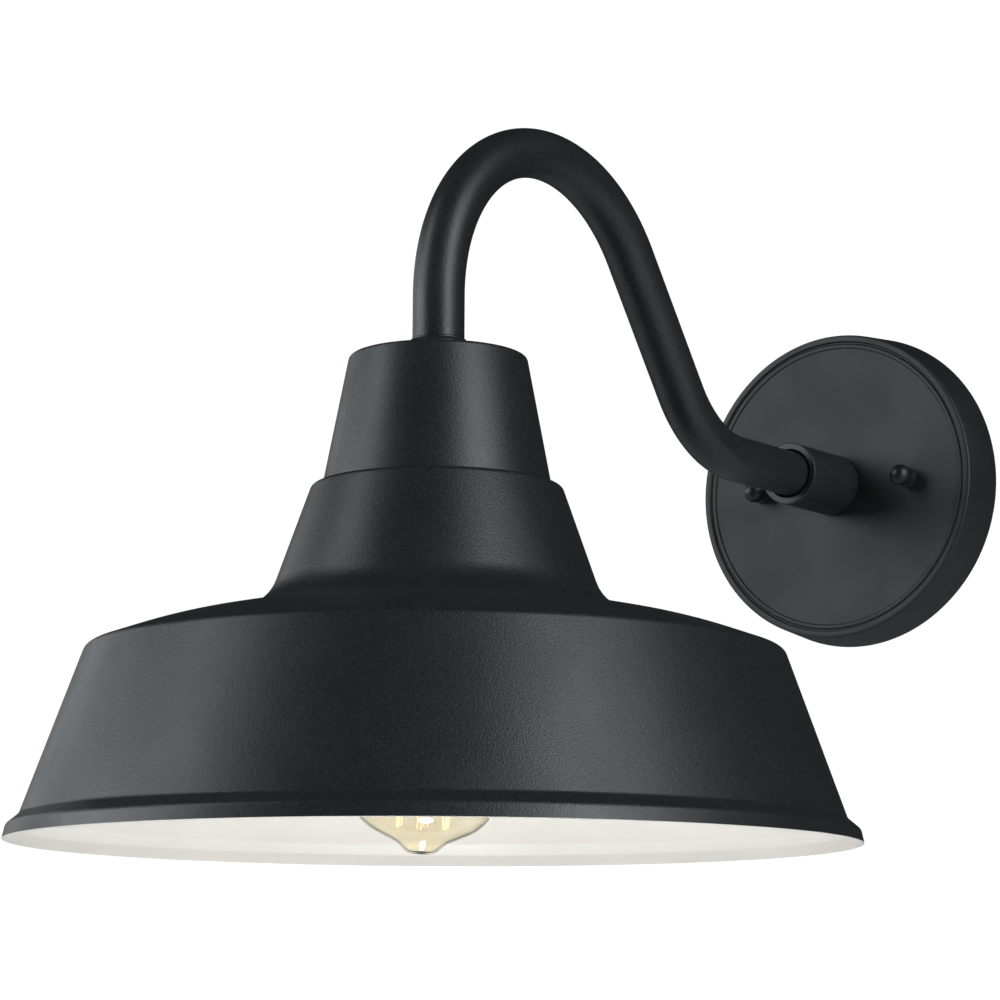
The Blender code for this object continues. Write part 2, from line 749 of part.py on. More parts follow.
def build_holder(finishes, fixture):
    top = HOLDER_TOP_Z
    body = turned(
        "socket_body",
        [
            (0.0, top),
            (0.0180, top),
            (0.0180, top - 0.0100),
            (HOLDER_RADIUS, top - 0.0130),
            (HOLDER_RADIUS, HOLDER_MOUTH_Z + 0.0010),
            (HOLDER_RADIUS - 0.0010, HOLDER_MOUTH_Z),
            (HOLDER_BORE, HOLDER_MOUTH_Z),
            (HOLDER_BORE, HOLDER_FLOOR_Z),
            (0.0, HOLDER_FLOOR_Z),
        ],
        finishes["porcelain"],
        fixture,
    )
    for side in (-1.0, 1.0):
        lead_hole = SHADE_AXIS + Vector((side * HOLDER_LEAD_X, 0.0, top - 0.0040))
        screw_hole = SHADE_AXIS + Vector((0.0, side * HOLDER_SCREW_Y, top - 0.0030))
        bore(body, LEAD_RADIUS + 0.0004, lead_hole, UP, 0.0100)
        bore(body, HOLDER_SCREW_HOLE, screw_hole, UP, 0.0100)
    turned(
        "socket_shell",
        ring(HOLDER_BORE - GAP, HOLDER_BORE - GAP - 0.0006, HOLDER_MOUTH_Z + 0.0020, HOLDER_FLOOR_Z - GAP),
        finishes["brass"],
        fixture,
    )
    turned(
        "socket_contact",
        [
            (0.0, HOLDER_FLOOR_Z - GAP),
            (0.0060, HOLDER_FLOOR_Z - GAP),
            (0.0060, HOLDER_FLOOR_Z - GAP - 0.0008),
            (0.0025, BULB_CONTACT_Z + GAP),
            (0.0, BULB_CONTACT_Z + GAP),
        ],
        finishes["brass"],
        fixture,
        round_steps=SMALL_ROUND,
    )
    plate_top = BRACKET_PLATE_Z
    foot_high = top + GAP + BRACKET_SHEET
    bracket_outline = [
        (-0.0175, foot_high, 0),
        (-0.0092, foot_high, 0.0010),
        (-0.0092, plate_top, 0.0015),
        (0.0092, plate_top, 0.0015),
        (0.0092, foot_high, 0.0010),
        (0.0175, foot_high, 0),
    ]
    bracket = bent_strap(
        "socket_bracket", bracket_outline, BRACKET_SHEET, BRACKET_WIDTH, "YZ", finishes["zinc"], fixture
    )
    hole = NIPPLE_RADIUS + GAP
    nut_height = 0.0030
    bore(bracket, hole, SHADE_AXIS + UP * plate_top, UP, 0.01)
    nuts = (
        ("socket_nut_upper", plate_top + GAP),
        ("socket_nut_lower", plate_top - BRACKET_SHEET - GAP - nut_height),
    )
    for name, low in nuts:
        nut(
            name,
            BRACKET_NUT,
            hole,
            low,
            low + nut_height,
            finishes["zinc"],
            fixture,
            SHADE_AXIS,
            UPRIGHT,
        )
    for label, side in (("front", -1.0), ("rear", 1.0)):
        spot = SHADE_AXIS + Vector((0.0, side * HOLDER_SCREW_Y, 0.0))
        bore(bracket, HOLDER_SCREW_HOLE, spot + UP * foot_high, UP, 0.006)
        turned(
            f"socket_screw_{label}",
            [
                (0.0, foot_high + GAP + 0.0020),
                (0.0022, foot_high + GAP + 0.0018),
                (0.0030, foot_high + GAP),
                (0.0016, foot_high + GAP),
                (0.0016, top - 0.0074),
                (0.0, top - 0.0074),
            ],
            finishes["zinc"],
            fixture,
            spot,
            UPRIGHT,
            12,
        )


def lead_knots(side):
    """Points along a lead, from the lamp holder up through the arm and down into the canopy."""
    knots = [
        (side * HOLDER_LEAD_X, -REACH, HOLDER_TOP_Z - 0.0070),
        (side * HOLDER_LEAD_X, -REACH, HOLDER_TOP_Z + 0.0020),
        (side * 0.0030, -REACH, -0.0395),
        (side * LEAD_OFFSET, -REACH, -0.0340),
    ]
    knots += [(side * LEAD_OFFSET, point.x, point.y) for point in arm_path(20)]
    knots += [
        (side * LEAD_OFFSET, -0.0110, 0.0),
        (side * 0.0030, -0.0085, -0.0030),
        (side * 0.0090, -0.0085, -0.0110),
        (side * 0.0170, -0.0095, -0.0190),
        (side * CONNECTOR_X, -0.0110, -0.0270),
        (side * CONNECTOR_X, -CONNECTOR_DEPTH, -0.0345),
    ]
    return knots


def build_wiring(finishes, fixture):
    for label, side in (("black", -1.0), ("white", 1.0)):
        path = smooth_path(lead_knots(side), 0.0120)
        wire(f"lead_{label}", path, LEAD_RADIUS, finishes[f"lead_{label}"], fixture)
        turned(
            f"wire_connector_{label}",
            [
                (0.0, -0.0500),
                (0.0022, -0.0500),
                (0.0036, -0.0480),
                (0.0050, -0.0340),
                (0.0038, -0.0330),
                (0.0016, -0.0330),
                (0.0016, -0.0350),
                (0.0, -0.0350),
            ],
            finishes[f"connector_{label}"],
            fixture,
            Vector((side * CONNECTOR_X, -CONNECTOR_DEPTH, 0.0)),
            UPRIGHT,
            12,
        )
    ground_path = smooth_path(
        [
            (0.0088, -0.0229, 0.0036),
            (0.0125, -0.0216, 0.0062),
            (0.0190, -0.0182, 0.0110),
            (0.0270, -0.0120, 0.0110),
            (0.0290, -0.0075, 0.0070),
            (0.0262, -0.0048, 0.0022),
        ],
        0.0030,
    )
    wire("ground_lead", ground_path, GROUND_LEAD_RADIUS, finishes["copper"], fixture)


def glass_outline():
    """The bulb's outside from its neck, through its straight flank and round belly, to its tip."""
    return [
        (GLASS_NECK_RADIUS, -0.0860, 0),
        (GLASS_NECK_RADIUS, -0.0930, 0.0100),
        (BULB_RADIUS, -0.1550, 0.0450),
        (BULB_RADIUS, -0.1891, 0.0220),
        (0.0105, -0.1988, 0.0040),
        (0.0054, BULB_TIP_Z, 0.0050),
        (0.0, BULB_TIP_Z, 0),
    ]


def build_bulb(finishes, fixture):
    """The bulb. Its glass, stem and filament lean a little from the cap's axis, as blown bulbs do."""
    bulb = hanger("bulb_axis", SHADE_AXIS, fixture)
    lean = Matrix.Rotation(GLASS_LEAN, 4, Vector((GLASS_LEAN_WAY.y, -GLASS_LEAN_WAY.x, 0.0)))
    pivot = SHADE_AXIS + Vector((0.0, 0.0, GLASS_PIVOT_Z))
    low = Matrix.Translation((0.0, 0.0, -GLASS_PIVOT_Z))
    outside = rounded(glass_outline())
    inside = sheet(outside, GLASS_WALL)[len(outside):]
    inside[0] = Vector((0.0, BULB_TIP_Z + GLASS_WALL))
    turned("bulb_glass", outside + inside, finishes["amber_glass"], bulb, pivot, lean @ low, SMALL_ROUND)
    shell = [
        (0.0098, BULB_CAP_TOP_Z, 0),
        (BULB_CAP_RADIUS, BULB_CAP_TOP_Z - 0.0030, 0),
        (BULB_CAP_RADIUS, BULB_CAP_BOTTOM_Z + 0.0030, 0),
        (BULB_CAP_RADIUS + 0.0003, BULB_CAP_BOTTOM_Z, 0),
    ]
    turned("bulb_cap", sheet(rounded(shell), 0.0005), finishes["brass"], bulb)
    insulator_top = BULB_CAP_TOP_Z + 0.0030
    turned(
        "bulb_insulator",
        [
            (0.0, insulator_top),
            (0.0052, insulator_top),
            (0.0094, BULB_CAP_TOP_Z + GAP),
            (0.0088, BULB_CAP_TOP_Z - 0.0012),
            (0.0, BULB_CAP_TOP_Z - 0.0012),
        ],
        finishes["black_glass"],
        bulb,
        round_steps=SMALL_ROUND,
    )
    turned(
        "bulb_contact",
        [
            (0.0, BULB_CONTACT_Z),
            (0.0030, BULB_CONTACT_Z - 0.0004),
            (0.0044, insulator_top + GAP),
            (0.0, insulator_top + GAP),
        ],
        finishes["solder"],
        bulb,
        round_steps=SMALL_ROUND,
    )
    turned(
        "bulb_stem",
        [
            (0.0, STEM_FOOT_Z),
            (0.0105, STEM_FOOT_Z),
            (0.0105, STEM_FOOT_Z - 0.0020),
            (0.0045, STEM_FOOT_Z - 0.0130),
            (0.0035, STEM_FOOT_Z - 0.0230),
            (0.0014, STEM_FOOT_Z - 0.0280),
            (0.0014, FILAMENT_BOTTOM_Z + 0.0010),
            (0.0022, FILAMENT_BOTTOM_Z - 0.0005),
            (0.0014, FILAMENT_BOTTOM_Z - 0.0020),
            (0.0, FILAMENT_BOTTOM_Z - 0.0020),
        ],
        finishes["clear_glass"],
        bulb,
        pivot,
        lean @ low,
        12,
    )
    zigzag = []
    for step in range(FILAMENT_TURNS):
        radius = FILAMENT_TOP_RADIUS if step % 2 else FILAMENT_BOTTOM_RADIUS
        height = FILAMENT_TOP_Z if step % 2 else FILAMENT_BOTTOM_Z
        for hook in (-FILAMENT_HOOK, FILAMENT_HOOK):
            angle = math.tau * (step + 0.5) / FILAMENT_TURNS + hook / radius
            zigzag.append(Vector((radius * math.cos(angle), radius * math.sin(angle), height)))
    zigzag = [pivot + lean @ low @ point for point in zigzag]
    wire("bulb_filament", zigzag, FILAMENT_RADIUS, finishes["filament"], bulb, closed=True, resolution=0)


def main():
    clear_scene()
    finishes = {
        "powder_black": material("powder_black", (0.030, 0.031, 0.033), 0.62),
        "satin_black": material("satin_black", (0.034, 0.035, 0.038), 0.52),
        "gloss_black": material("gloss_black", (0.020, 0.020, 0.022), 0.35),
        "foam": material("foam", (0.03, 0.03, 0.03), 0.95),
        "rubber": material("rubber", (0.02, 0.02, 0.02), 0.80),
        "zinc": material("zinc", (0.62, 0.62, 0.60), 0.35, metallic=1.0),
        "brass": material("brass", (0.78, 0.60, 0.30), 0.30, metallic=1.0),
        "solder": material("solder", (0.70, 0.70, 0.70), 0.40, metallic=1.0),
        "copper": material("copper", (0.80, 0.42, 0.25), 0.35, metallic=1.0),
        "green": material("green", (0.05, 0.30, 0.10), 0.40),
        "porcelain": material("porcelain", (0.88, 0.87, 0.84), 0.20),
        "lead_black": material("lead_black", (0.02, 0.02, 0.02), 0.50),
        "lead_white": material("lead_white", (0.85, 0.85, 0.83), 0.50),
        "connector_black": material("connector_black", (0.70, 0.25, 0.04), 0.45),
        "connector_white": material("connector_white", (0.70, 0.25, 0.04), 0.45),
        "black_glass": material("black_glass", (0.02, 0.02, 0.03), 0.15),
        "clear_glass": material("clear_glass", (0.95, 0.95, 0.95), 0.05, transmission=1.0),
        "amber_glass": material("amber_glass", (0.95, 0.80, 0.50), 0.05, transmission=1.0),
        "filament": material("filament", (0.95, 0.70, 0.30), 0.40, metallic=1.0),
    }
    fixture = hanger("fixture", CANOPY_AXIS)
    build_canopy(finishes, fixture)
    build_knobs(finishes, fixture)
    build_crossbar(finishes, fixture)
    build_sleeve(finishes, fixture)
    build_arm(finishes, fixture)
    build_cap(finishes, fixture)
    build_shade(finishes, fixture)
    build_holder(finishes, fixture)
    build_wiring(finishes, fixture)
    build_bulb(finishes, fixture)


main()
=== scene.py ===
"""Looks of an outdoor wall lantern: a round canopy, a gooseneck arm and a spun barn shade over a bulb.

Metres, +Z up. The wall is the plane y = 0, and the lantern stands out from it towards -Y. The shade,
lamp holder and bulb share the upright axis x = 0, y = -REACH. Outlines of turned pieces are lists of
(radius, height, fillet radius) corners: heights are world z on the shade's axis, and distances from
the wall on the canopy's axis.
"""

import math

import bmesh
import bpy
from mathutils import Matrix, Vector


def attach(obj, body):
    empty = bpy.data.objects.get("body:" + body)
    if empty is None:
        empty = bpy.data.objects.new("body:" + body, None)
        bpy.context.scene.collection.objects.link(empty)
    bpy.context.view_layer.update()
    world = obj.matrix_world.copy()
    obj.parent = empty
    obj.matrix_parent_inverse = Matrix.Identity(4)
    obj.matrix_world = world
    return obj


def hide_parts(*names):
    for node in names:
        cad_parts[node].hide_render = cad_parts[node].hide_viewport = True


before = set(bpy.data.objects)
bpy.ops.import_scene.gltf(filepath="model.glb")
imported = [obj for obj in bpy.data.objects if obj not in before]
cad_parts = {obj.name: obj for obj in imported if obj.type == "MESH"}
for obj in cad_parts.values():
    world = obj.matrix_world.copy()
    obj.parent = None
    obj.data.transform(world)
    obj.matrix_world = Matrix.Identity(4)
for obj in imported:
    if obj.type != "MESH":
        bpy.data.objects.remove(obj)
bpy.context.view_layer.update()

REACH = 0.3543
GAP = 0.0003
DRILL_LENGTH = 0.0100

CANOPY_RADIUS = 0.0810
CANOPY_FRONT_RADIUS = 0.0786
CANOPY_DEPTH = 0.0265
CANOPY_FACE = 0.0256
CANOPY_BEAD = 0.0261
CANOPY_SHEET = 0.0015
CANOPY_REAR = 0.0025
GASKET_INNER_RADIUS = 0.0700
GASKET_OUTER_RADIUS = 0.0798
KNOB_SPACING = 0.0866
BALL_RADIUS = 0.00535
BALL_CENTRE = 0.0333
KNOB_NECK_RADIUS = 0.0031
KNOB_FOOT_RADIUS = 0.0046
SEAL_RADIUS = 0.0052
SEAL_THICKNESS = 0.0008
STUD_RADIUS = 0.00208
STUD_REAR = 0.0010
STUD_TIP = 0.0315
STUD_PITCH = 0.0254 / 32
STUD_THREAD_DEPTH = 0.00034

SLEEVE_RADIUS = 0.0156
SLEEVE_FRONT = 0.0700
SLEEVE_SEAT = 0.0465
SET_SCREW_X = -0.0136
SET_SCREW_Y = -0.0560
SET_SCREW_RADIUS = 0.0021
SET_SCREW_LENGTH = 0.0032
SET_SCREW_KEY_RADIUS = 0.0011
SET_SCREW_KEY_DEPTH = 0.0012
NIPPLE_RADIUS = 0.0048
ARM_RADIUS = 0.0112
ARM_WALL = 0.0015
ARCH_RADIUS = 0.0800
ARCH_CENTRE_Z = 0.0360
ARM_DESCENT = math.radians(54.0)
LOWER_BEND_RADIUS = 0.0600
ARM_FOOT_Z = 0.0163
COLLAR_RADIUS = 0.0144

CAP_TOP_Z = 0.0081
CAP_TOP_RADIUS = 0.0382
CAP_BOTTOM_Z = -0.0479
CAP_BOTTOM_RADIUS = 0.0488
STRAP_SCREW_X = 0.0385
STRAP_SCREW_RADIUS = 0.0016
STRAP_SCREW_HOLE = 0.0019
STRAP_SCREW_HEAD_RADIUS = 0.0036
STRAP_SCREW_CROSS_WIDTH = 0.0008
STRAP_SCREW_CROSS_DEPTH = 0.0022
SHEET = 0.0012
FLANGE_Z = -0.0482
FLANGE_HOLE_RADIUS = 0.0290
RIM_Z = -0.1993
RIM_RADIUS = 0.1782

HOLDER_TOP_Z = -0.0460
HOLDER_MOUTH_Z = -0.0920
HOLDER_FLOOR_Z = -0.0600
HOLDER_RADIUS = 0.0200
HOLDER_TOP_RADIUS = 0.0180
HOLDER_BORE = 0.0152
HOLDER_LEAD_X = 0.0060
HOLDER_LEAD_HOLE = 0.0014
HOLDER_SCREW_Y = 0.0135
HOLDER_SCREW_HOLE = 0.0019
HOLDER_THREAD_DEPTH = 0.0007

BULB_CONTACT_Z = -0.0629
BULB_CAP_TOP_Z = -0.0673
BULB_CAP_BOTTOM_Z = -0.0915
BULB_CAP_RADIUS = 0.0131
BULB_TIP_Z = -0.2034
BULB_RADIUS = 0.0322
BULB_PITCH = 0.0254 / 7
BULB_THREAD_DEPTH = 0.0009
BULB_THREAD_STEP = BULB_PITCH / 12
GLASS_WALL = 0.0008
GLASS_NECK_RADIUS = 0.0119
GLASS_PIVOT_Z = -0.0890
GLASS_LEAN = math.radians(2.8)
GLASS_LEAN_WAY = Vector((-0.798, -0.603))
STEM_FOOT_Z = -0.0870
FILAMENT_TOP_Z = -0.1180
FILAMENT_BOTTOM_Z = -0.1925
FILAMENT_TOP_RADIUS = 0.0085
FILAMENT_BOTTOM_RADIUS = 0.0115
FILAMENT_TURNS = 12
FILAMENT_HOOK = 0.0008
FILAMENT_STEP = 0.0060
FILAMENT_RADIUS = 0.00022
# Strength of the filament's emission, a painted glint on its wires.
FILAMENT_PAINTED_GLINT = 1.6

LEAD_RADIUS = 0.0010
LEAD_OFFSET = 0.0015
GROUND_LEAD_RADIUS = 0.0007
CONNECTOR_X = 0.0220
CONNECTOR_DEPTH = 0.0120
CONNECTOR_RIB_LOW = -0.0497
CONNECTOR_RIB_HIGH = -0.0345
CONNECTOR_RIB_DEPTH = 0.045
CONNECTOR_RIBS = 12

LARGE_ROUND = 192
MEDIUM_ROUND = 96
THREAD_ROUND = 72
ARM_ROUND = 64
SMALL_ROUND = 48
SCREW_ROUND = 24
SHARP_ANGLE = math.radians(32.0)
NOTHING = 1e-9

TOWARDS_ROOM = Matrix.Rotation(math.radians(90.0), 4, "X")  # local +Z points along world -Y
UPRIGHT = Matrix.Identity(4)
CANOPY_AXIS = Vector((0.0, 0.0, 0.0))
SHADE_AXIS = Vector((0.0, -REACH, 0.0))
UP = Vector((0.0, 0.0, 1.0))
SIDES = (("left", -1.0), ("right", 1.0))
GLASS_PIVOT = SHADE_AXIS + UP * GLASS_PIVOT_Z
GLASS_TILT = Matrix.Rotation(GLASS_LEAN, 4, Vector((GLASS_LEAN_WAY.y, -GLASS_LEAN_WAY.x, 0.0)))
GLASS_TURN = GLASS_TILT @ Matrix.Translation((0.0, 0.0, -GLASS_PIVOT_Z))

CAMERA_SPOT = Vector((0.7808, -1.3415, -0.2708))
CAMERA_RIGHT = Vector((0.7978, 0.6029, 0.0047))
CAMERA_FORWARD = Vector((-0.5947, 0.7857, 0.1702))
CAMERA_LENS = 108.11
CAMERA_SENSOR = 36.0

# Soft boxes: name, degrees right of the camera's way, degrees up, brightness
SOFT_BOXES = (
    ("right_key_low", 40.0, 12.0, 8.8),
    ("right_key_high", 40.0, 36.0, 4.2),
    ("right_fill", 60.0, 32.0, 2.6),
    ("left_key_low", -100.0, 12.0, 4.0),
    ("left_key_high", -80.0, 36.0, 3.1),
    ("left_key_front", -76.0, 12.0, 4.5),
    ("left_rim", -120.0, 20.0, 0.8),
    ("left_back", -140.0, 12.0, 1.0),
)
BOX_DISTANCE = 3.0
BOX_WIDTH = 1.06
BOX_HEIGHT = 1.27
BOX_COLOUR = (0.918, 0.967, 1.0)
BOX_AIM = Vector((0.0, -0.25, -0.05))

# Spotlights under the shade: name, degrees from the middle to the edge of the beam, power, colour
SPOTS = (
    ("dome_light", 13.0, 24.0, (1.0, 0.92, 0.78)),
    ("skirt_light", 17.5, 9.6, (1.0, 1.0, 1.0)),
)
SPOT_DROP = 0.60
SPOT_RADIUS = 0.08
SPOT_BLEND = 0.25

BACKDROP_STRENGTH = 1.05
AMBIENT_COLOUR = (0.96, 0.98, 1.0, 1.0)
AMBIENT_STRENGTH = 0.02
FLOOR_RADIUS = 4.0
FLOOR_SPOT = Vector((0.0, -0.2, -0.85))
FLOOR_GLOW = 0.70


# Materials


class Tree:
    """A short way to wire a material's nodes."""

    def __init__(self, name):
        self.material = bpy.data.materials.new(name)
        self.material.use_nodes = True
        self.nodes = self.material.node_tree.nodes
        self.links = self.material.node_tree.links
        self.shader = self.nodes["Principled BSDF"]
        self.place = self.add("ShaderNodeTexCoord").outputs["Object"]

    def add(self, kind):
        return self.nodes.new(kind)

    def link(self, source, target):
        self.links.new(source, target)

    def noise(self, size, detail=2.0, rough=0.5):
        """Noise whose blobs are about size metres across."""
        made = self.add("ShaderNodeTexNoise")
        made.inputs["Scale"].default_value = 1.0 / size
        made.inputs["Detail"].default_value = detail
        made.inputs["Roughness"].default_value = rough
        self.link(self.place, made.inputs["Vector"])
        return made.outputs["Fac"]

    def span(self, source, low, high, start=0.35, end=0.65):
        """A value from low to high as the source goes from start to end."""
        made = self.add("ShaderNodeMapRange")
        made.inputs["From Min"].default_value = start
        made.inputs["From Max"].default_value = end
        made.inputs["To Min"].default_value = low
        made.inputs["To Max"].default_value = high
        self.link(source, made.inputs["Value"])
        return made.outputs["Result"]

    def blend(self, source, first, second, start=0.35, end=0.65):
        """A colour from first to second as the source goes from start to end."""
        made = self.add("ShaderNodeValToRGB")
        made.color_ramp.elements[0].position = start
        made.color_ramp.elements[0].color = (*first, 1.0)
        made.color_ramp.elements[1].position = end
        made.color_ramp.elements[1].color = (*second, 1.0)
        self.link(source, made.inputs["Fac"])
        return made.outputs["Color"]

    def bump(self, source, height):
        """A normal that follows the source as relief of this height in metres."""
        made = self.add("ShaderNodeBump")
        made.inputs["Strength"].default_value = 1.0
        made.inputs["Distance"].default_value = height
        self.link(source, made.inputs["Height"])
        return made.outputs["Normal"]

    def set(self, **values):
        """Sets or links shader sockets, whose names are written with underscores."""
        for key, value in values.items():
            socket = self.shader.inputs[key.replace("_", " ")]
            if isinstance(value, bpy.types.NodeSocket):
                self.link(value, socket)
            else:
                socket.default_value = (*value, 1.0) if isinstance(value, tuple) else value
        return self.material


def powder_coat(name, dark, light, rough, grain, height):
    """Textured powder coat: fine even grain and faint cloudiness in the gloss. Its colour follows the
    grain's relief, lighter on the peaks as painted light and darker in the pits as painted shade.
    """
    tree = Tree(name)
    fine = tree.noise(grain, 2.0, 0.6)
    cloud = tree.noise(0.030, 2.0)
    return tree.set(
        # Colour and relief share one noise: the lighter peaks and darker pits are painted light and shade
        # of the grain.
        Base_Color=tree.blend(fine, dark, light, 0.36, 0.66),
        Roughness=tree.span(cloud, rough - 0.03, rough + 0.03),
        Specular_IOR_Level=0.5,
        Normal=tree.bump(fine, height),
    )


def enamel(name, colour, shade, rough, ripple):
    """Smooth sprayed enamel with a faint orange-peel ripple."""
    tree = Tree(name)
    peel = tree.noise(0.0035, 1.0)
    return tree.set(
        Base_Color=tree.blend(tree.noise(0.040, 2.0), shade, colour),
        Roughness=tree.span(peel, rough - 0.04, rough + 0.04),
        Normal=tree.bump(peel, ripple),
    )


def metal(name, colour, shade, rough, relief=0.00001):
    """Plated or drawn metal with a fine grain and slight staining."""
    tree = Tree(name)
    grain = tree.noise(0.0006, 3.0, 0.6)
    stain = tree.noise(0.006, 3.0)
    return tree.set(
        Base_Color=tree.blend(stain, shade, colour, 0.30, 0.65),
        Metallic=1.0,
        Roughness=tree.span(grain, rough - 0.07, rough + 0.07),
        Normal=tree.bump(grain, relief),
    )


def plastic(name, colour, shade, rough):
    """Moulded plastic or rubber with a fine matte grain."""
    tree = Tree(name)
    grain = tree.noise(0.0009, 2.0)
    return tree.set(
        Base_Color=tree.blend(tree.noise(0.008, 2.0), shade, colour),
        Roughness=tree.span(grain, rough - 0.05, rough + 0.05),
        Normal=tree.bump(grain, 0.00002),
    )


def glass(name, colour, shade, waviness):
    """Thin blown glass, slightly uneven in tint and surface, which hardly bends what is seen through it."""
    tree = Tree(name)
    drift = tree.noise(0.020, 1.0)
    return tree.set(
        Base_Color=tree.blend(drift, shade, colour, 0.30, 0.70),
        Roughness=0.0,
        IOR=1.01,
        Transmission_Weight=1.0,
        Coat_Weight=1.0,
        Coat_IOR=1.45,
        Coat_Roughness=0.03,
        Normal=tree.bump(tree.noise(0.014, 1.0), waviness),
    )


def painted_glint_wire(name):
    """Carbon filament, a little uneven along its length. Its faint emission is a painted glint that makes
    the wires of the unlit bulb look bright.
    """
    tree = Tree(name)
    glint_noise = tree.noise(0.004, 1.0)
    return tree.set(
        Base_Color=tree.blend(glint_noise, (0.80, 0.50, 0.22), (0.95, 0.70, 0.36)),
        Roughness=0.45,
        Emission_Color=tree.blend(glint_noise, (1.0, 0.66, 0.34), (1.0, 0.80, 0.52)),
        Emission_Strength=FILAMENT_PAINTED_GLINT,
    )


def foam(name):
    """Closed-cell foam, pitted all over."""
    tree = Tree(name)
    pits = tree.noise(0.0008, 3.0, 0.7)
    return tree.set(
        # Colour and relief share one noise: the darker pits are painted shade.
        Base_Color=tree.blend(pits, (0.010, 0.010, 0.010), (0.045, 0.045, 0.046)),
        Roughness=tree.span(pits, 0.85, 0.97),
        Normal=tree.bump(pits, 0.0003),
    )


FINISHES = {
    "powder_black": powder_coat(
        "powder_black", (0.0105, 0.0115, 0.0120), (0.0250, 0.0265, 0.0275), 0.385, 0.00085, 0.000110
    ),
    # A rougher copy of the black coat with lower relief, its colour made darker as painted shade on the
    # canopy.
    "canopy_black": powder_coat(
        "canopy_black", (0.0095, 0.0103, 0.0107), (0.0150, 0.0160, 0.0167), 0.50, 0.00085, 0.000040
    ),
    # A rougher copy of the black coat with a smaller, lower grain, its colour made darker as painted shade
    # on the knobs.
    "knob_black": powder_coat(
        "knob_black", (0.0070, 0.0075, 0.0080), (0.0110, 0.0115, 0.0120), 0.42, 0.00060, 0.000015
    ),
    "shade_white": enamel("shade_white", (0.850, 0.842, 0.830), (0.830, 0.822, 0.810), 0.38, 0.00002),
    "foam": foam("foam_black"),
    "rubber": plastic("rubber_black", (0.022, 0.022, 0.022), (0.014, 0.014, 0.014), 0.75),
    "zinc": metal("zinc_plate", (0.64, 0.65, 0.63), (0.52, 0.52, 0.49), 0.34),
    "green_screw": enamel("green_plate", (0.040, 0.260, 0.085), (0.030, 0.200, 0.065), 0.35, 0.00001),
    "brass": metal("brass_plate", (0.80, 0.62, 0.33), (0.66, 0.48, 0.23), 0.26),
    "porcelain": enamel("porcelain_glaze", (0.86, 0.85, 0.82), (0.80, 0.79, 0.75), 0.14, 0.00001),
    "lead_black": plastic("insulation_black", (0.020, 0.020, 0.020), (0.014, 0.014, 0.014), 0.48),
    "lead_white": plastic("insulation_white", (0.82, 0.82, 0.80), (0.74, 0.74, 0.71), 0.48),
    "copper": metal("copper_wire", (0.86, 0.50, 0.34), (0.66, 0.34, 0.21), 0.30),
    "connector": plastic("connector_orange", (0.72, 0.26, 0.045), (0.62, 0.21, 0.035), 0.45),
    "amber_glass": glass("amber_glass", (0.985, 0.950, 0.860), (0.965, 0.915, 0.770), 0.0004),
    "clear_glass": glass("clear_glass", (0.985, 0.985, 0.975), (0.970, 0.970, 0.960), 0.0001),
    "black_glass": enamel("black_glass", (0.020, 0.020, 0.026), (0.014, 0.014, 0.018), 0.10, 0.00001),
    "solder": metal("solder_tin", (0.72, 0.72, 0.71), (0.58, 0.58, 0.57), 0.36, relief=0.00003),
    "filament": painted_glint_wire("filament_carbon"),
}


# Shapes


def rounded(corners, steps=8):
    """An outline through (x, y, fillet) corners, with an arc of a few steps at each fillet."""
    points = []
    for index, (x, y, fillet) in enumerate(corners):
        corner = Vector((x, y))
        if not fillet:
            points.append(corner)
            continue
        before = (Vector(corners[index - 1][:2]) - corner).normalized()
        after = (Vector(corners[(index + 1) % len(corners)][:2]) - corner).normalized()
        half = before.angle(after) / 2
        centre = corner + (before + after).normalized() * fillet / math.sin(half)
        start = corner + before * fillet / math.tan(half) - centre
        sweep = (math.pi - 2 * half) * math.copysign(1.0, start.cross(before + after) * -1.0)
        points += [centre + Matrix.Rotation(sweep * k / steps, 2) @ start for k in range(steps + 1)]
    return points


def sheet(outline, thickness):
    """A closed loop round an open outline and its copy, set off by the thickness to its right."""
    inner = []
    for index, point in enumerate(outline):
        ahead = outline[min(index + 1, len(outline) - 1)]
        behind = outline[max(index - 1, 0)]
        into = (point - behind).normalized() if index else (ahead - point).normalized()
        out = (ahead - point).normalized() if index < len(outline) - 1 else into
        normals = [Vector((way.y, -way.x)) for way in (into, out)]
        mitre = (normals[0] + normals[1]).normalized()
        inner.append(point + mitre * thickness / mitre.dot(normals[0]))
    return list(outline) + inner[::-1]


def piece(name, shape, finishes, body, nodes, centre=Vector(), turn=UPRIGHT):
    """Turns a bmesh into a smooth piece that rides on a body and stands for CAD nodes."""
    bmesh.ops.recalc_face_normals(shape, faces=shape.faces)
    if shape.calc_volume(signed=True) < 0.0:
        bmesh.ops.reverse_faces(shape, faces=shape.faces)
    mesh = bpy.data.meshes.new(name)
    shape.to_mesh(mesh)
    shape.free()
    mesh.shade_smooth()
    mesh.set_sharp_from_angle(angle=SHARP_ANGLE)
    for finish in finishes:
        mesh.materials.append(FINISHES[finish])
    made = bpy.data.objects.new(name, mesh)
    bpy.context.scene.collection.objects.link(made)
    made.matrix_world = Matrix.Translation(centre) @ turn
    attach(made, body)
    if nodes:
        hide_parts(*nodes)
    return made


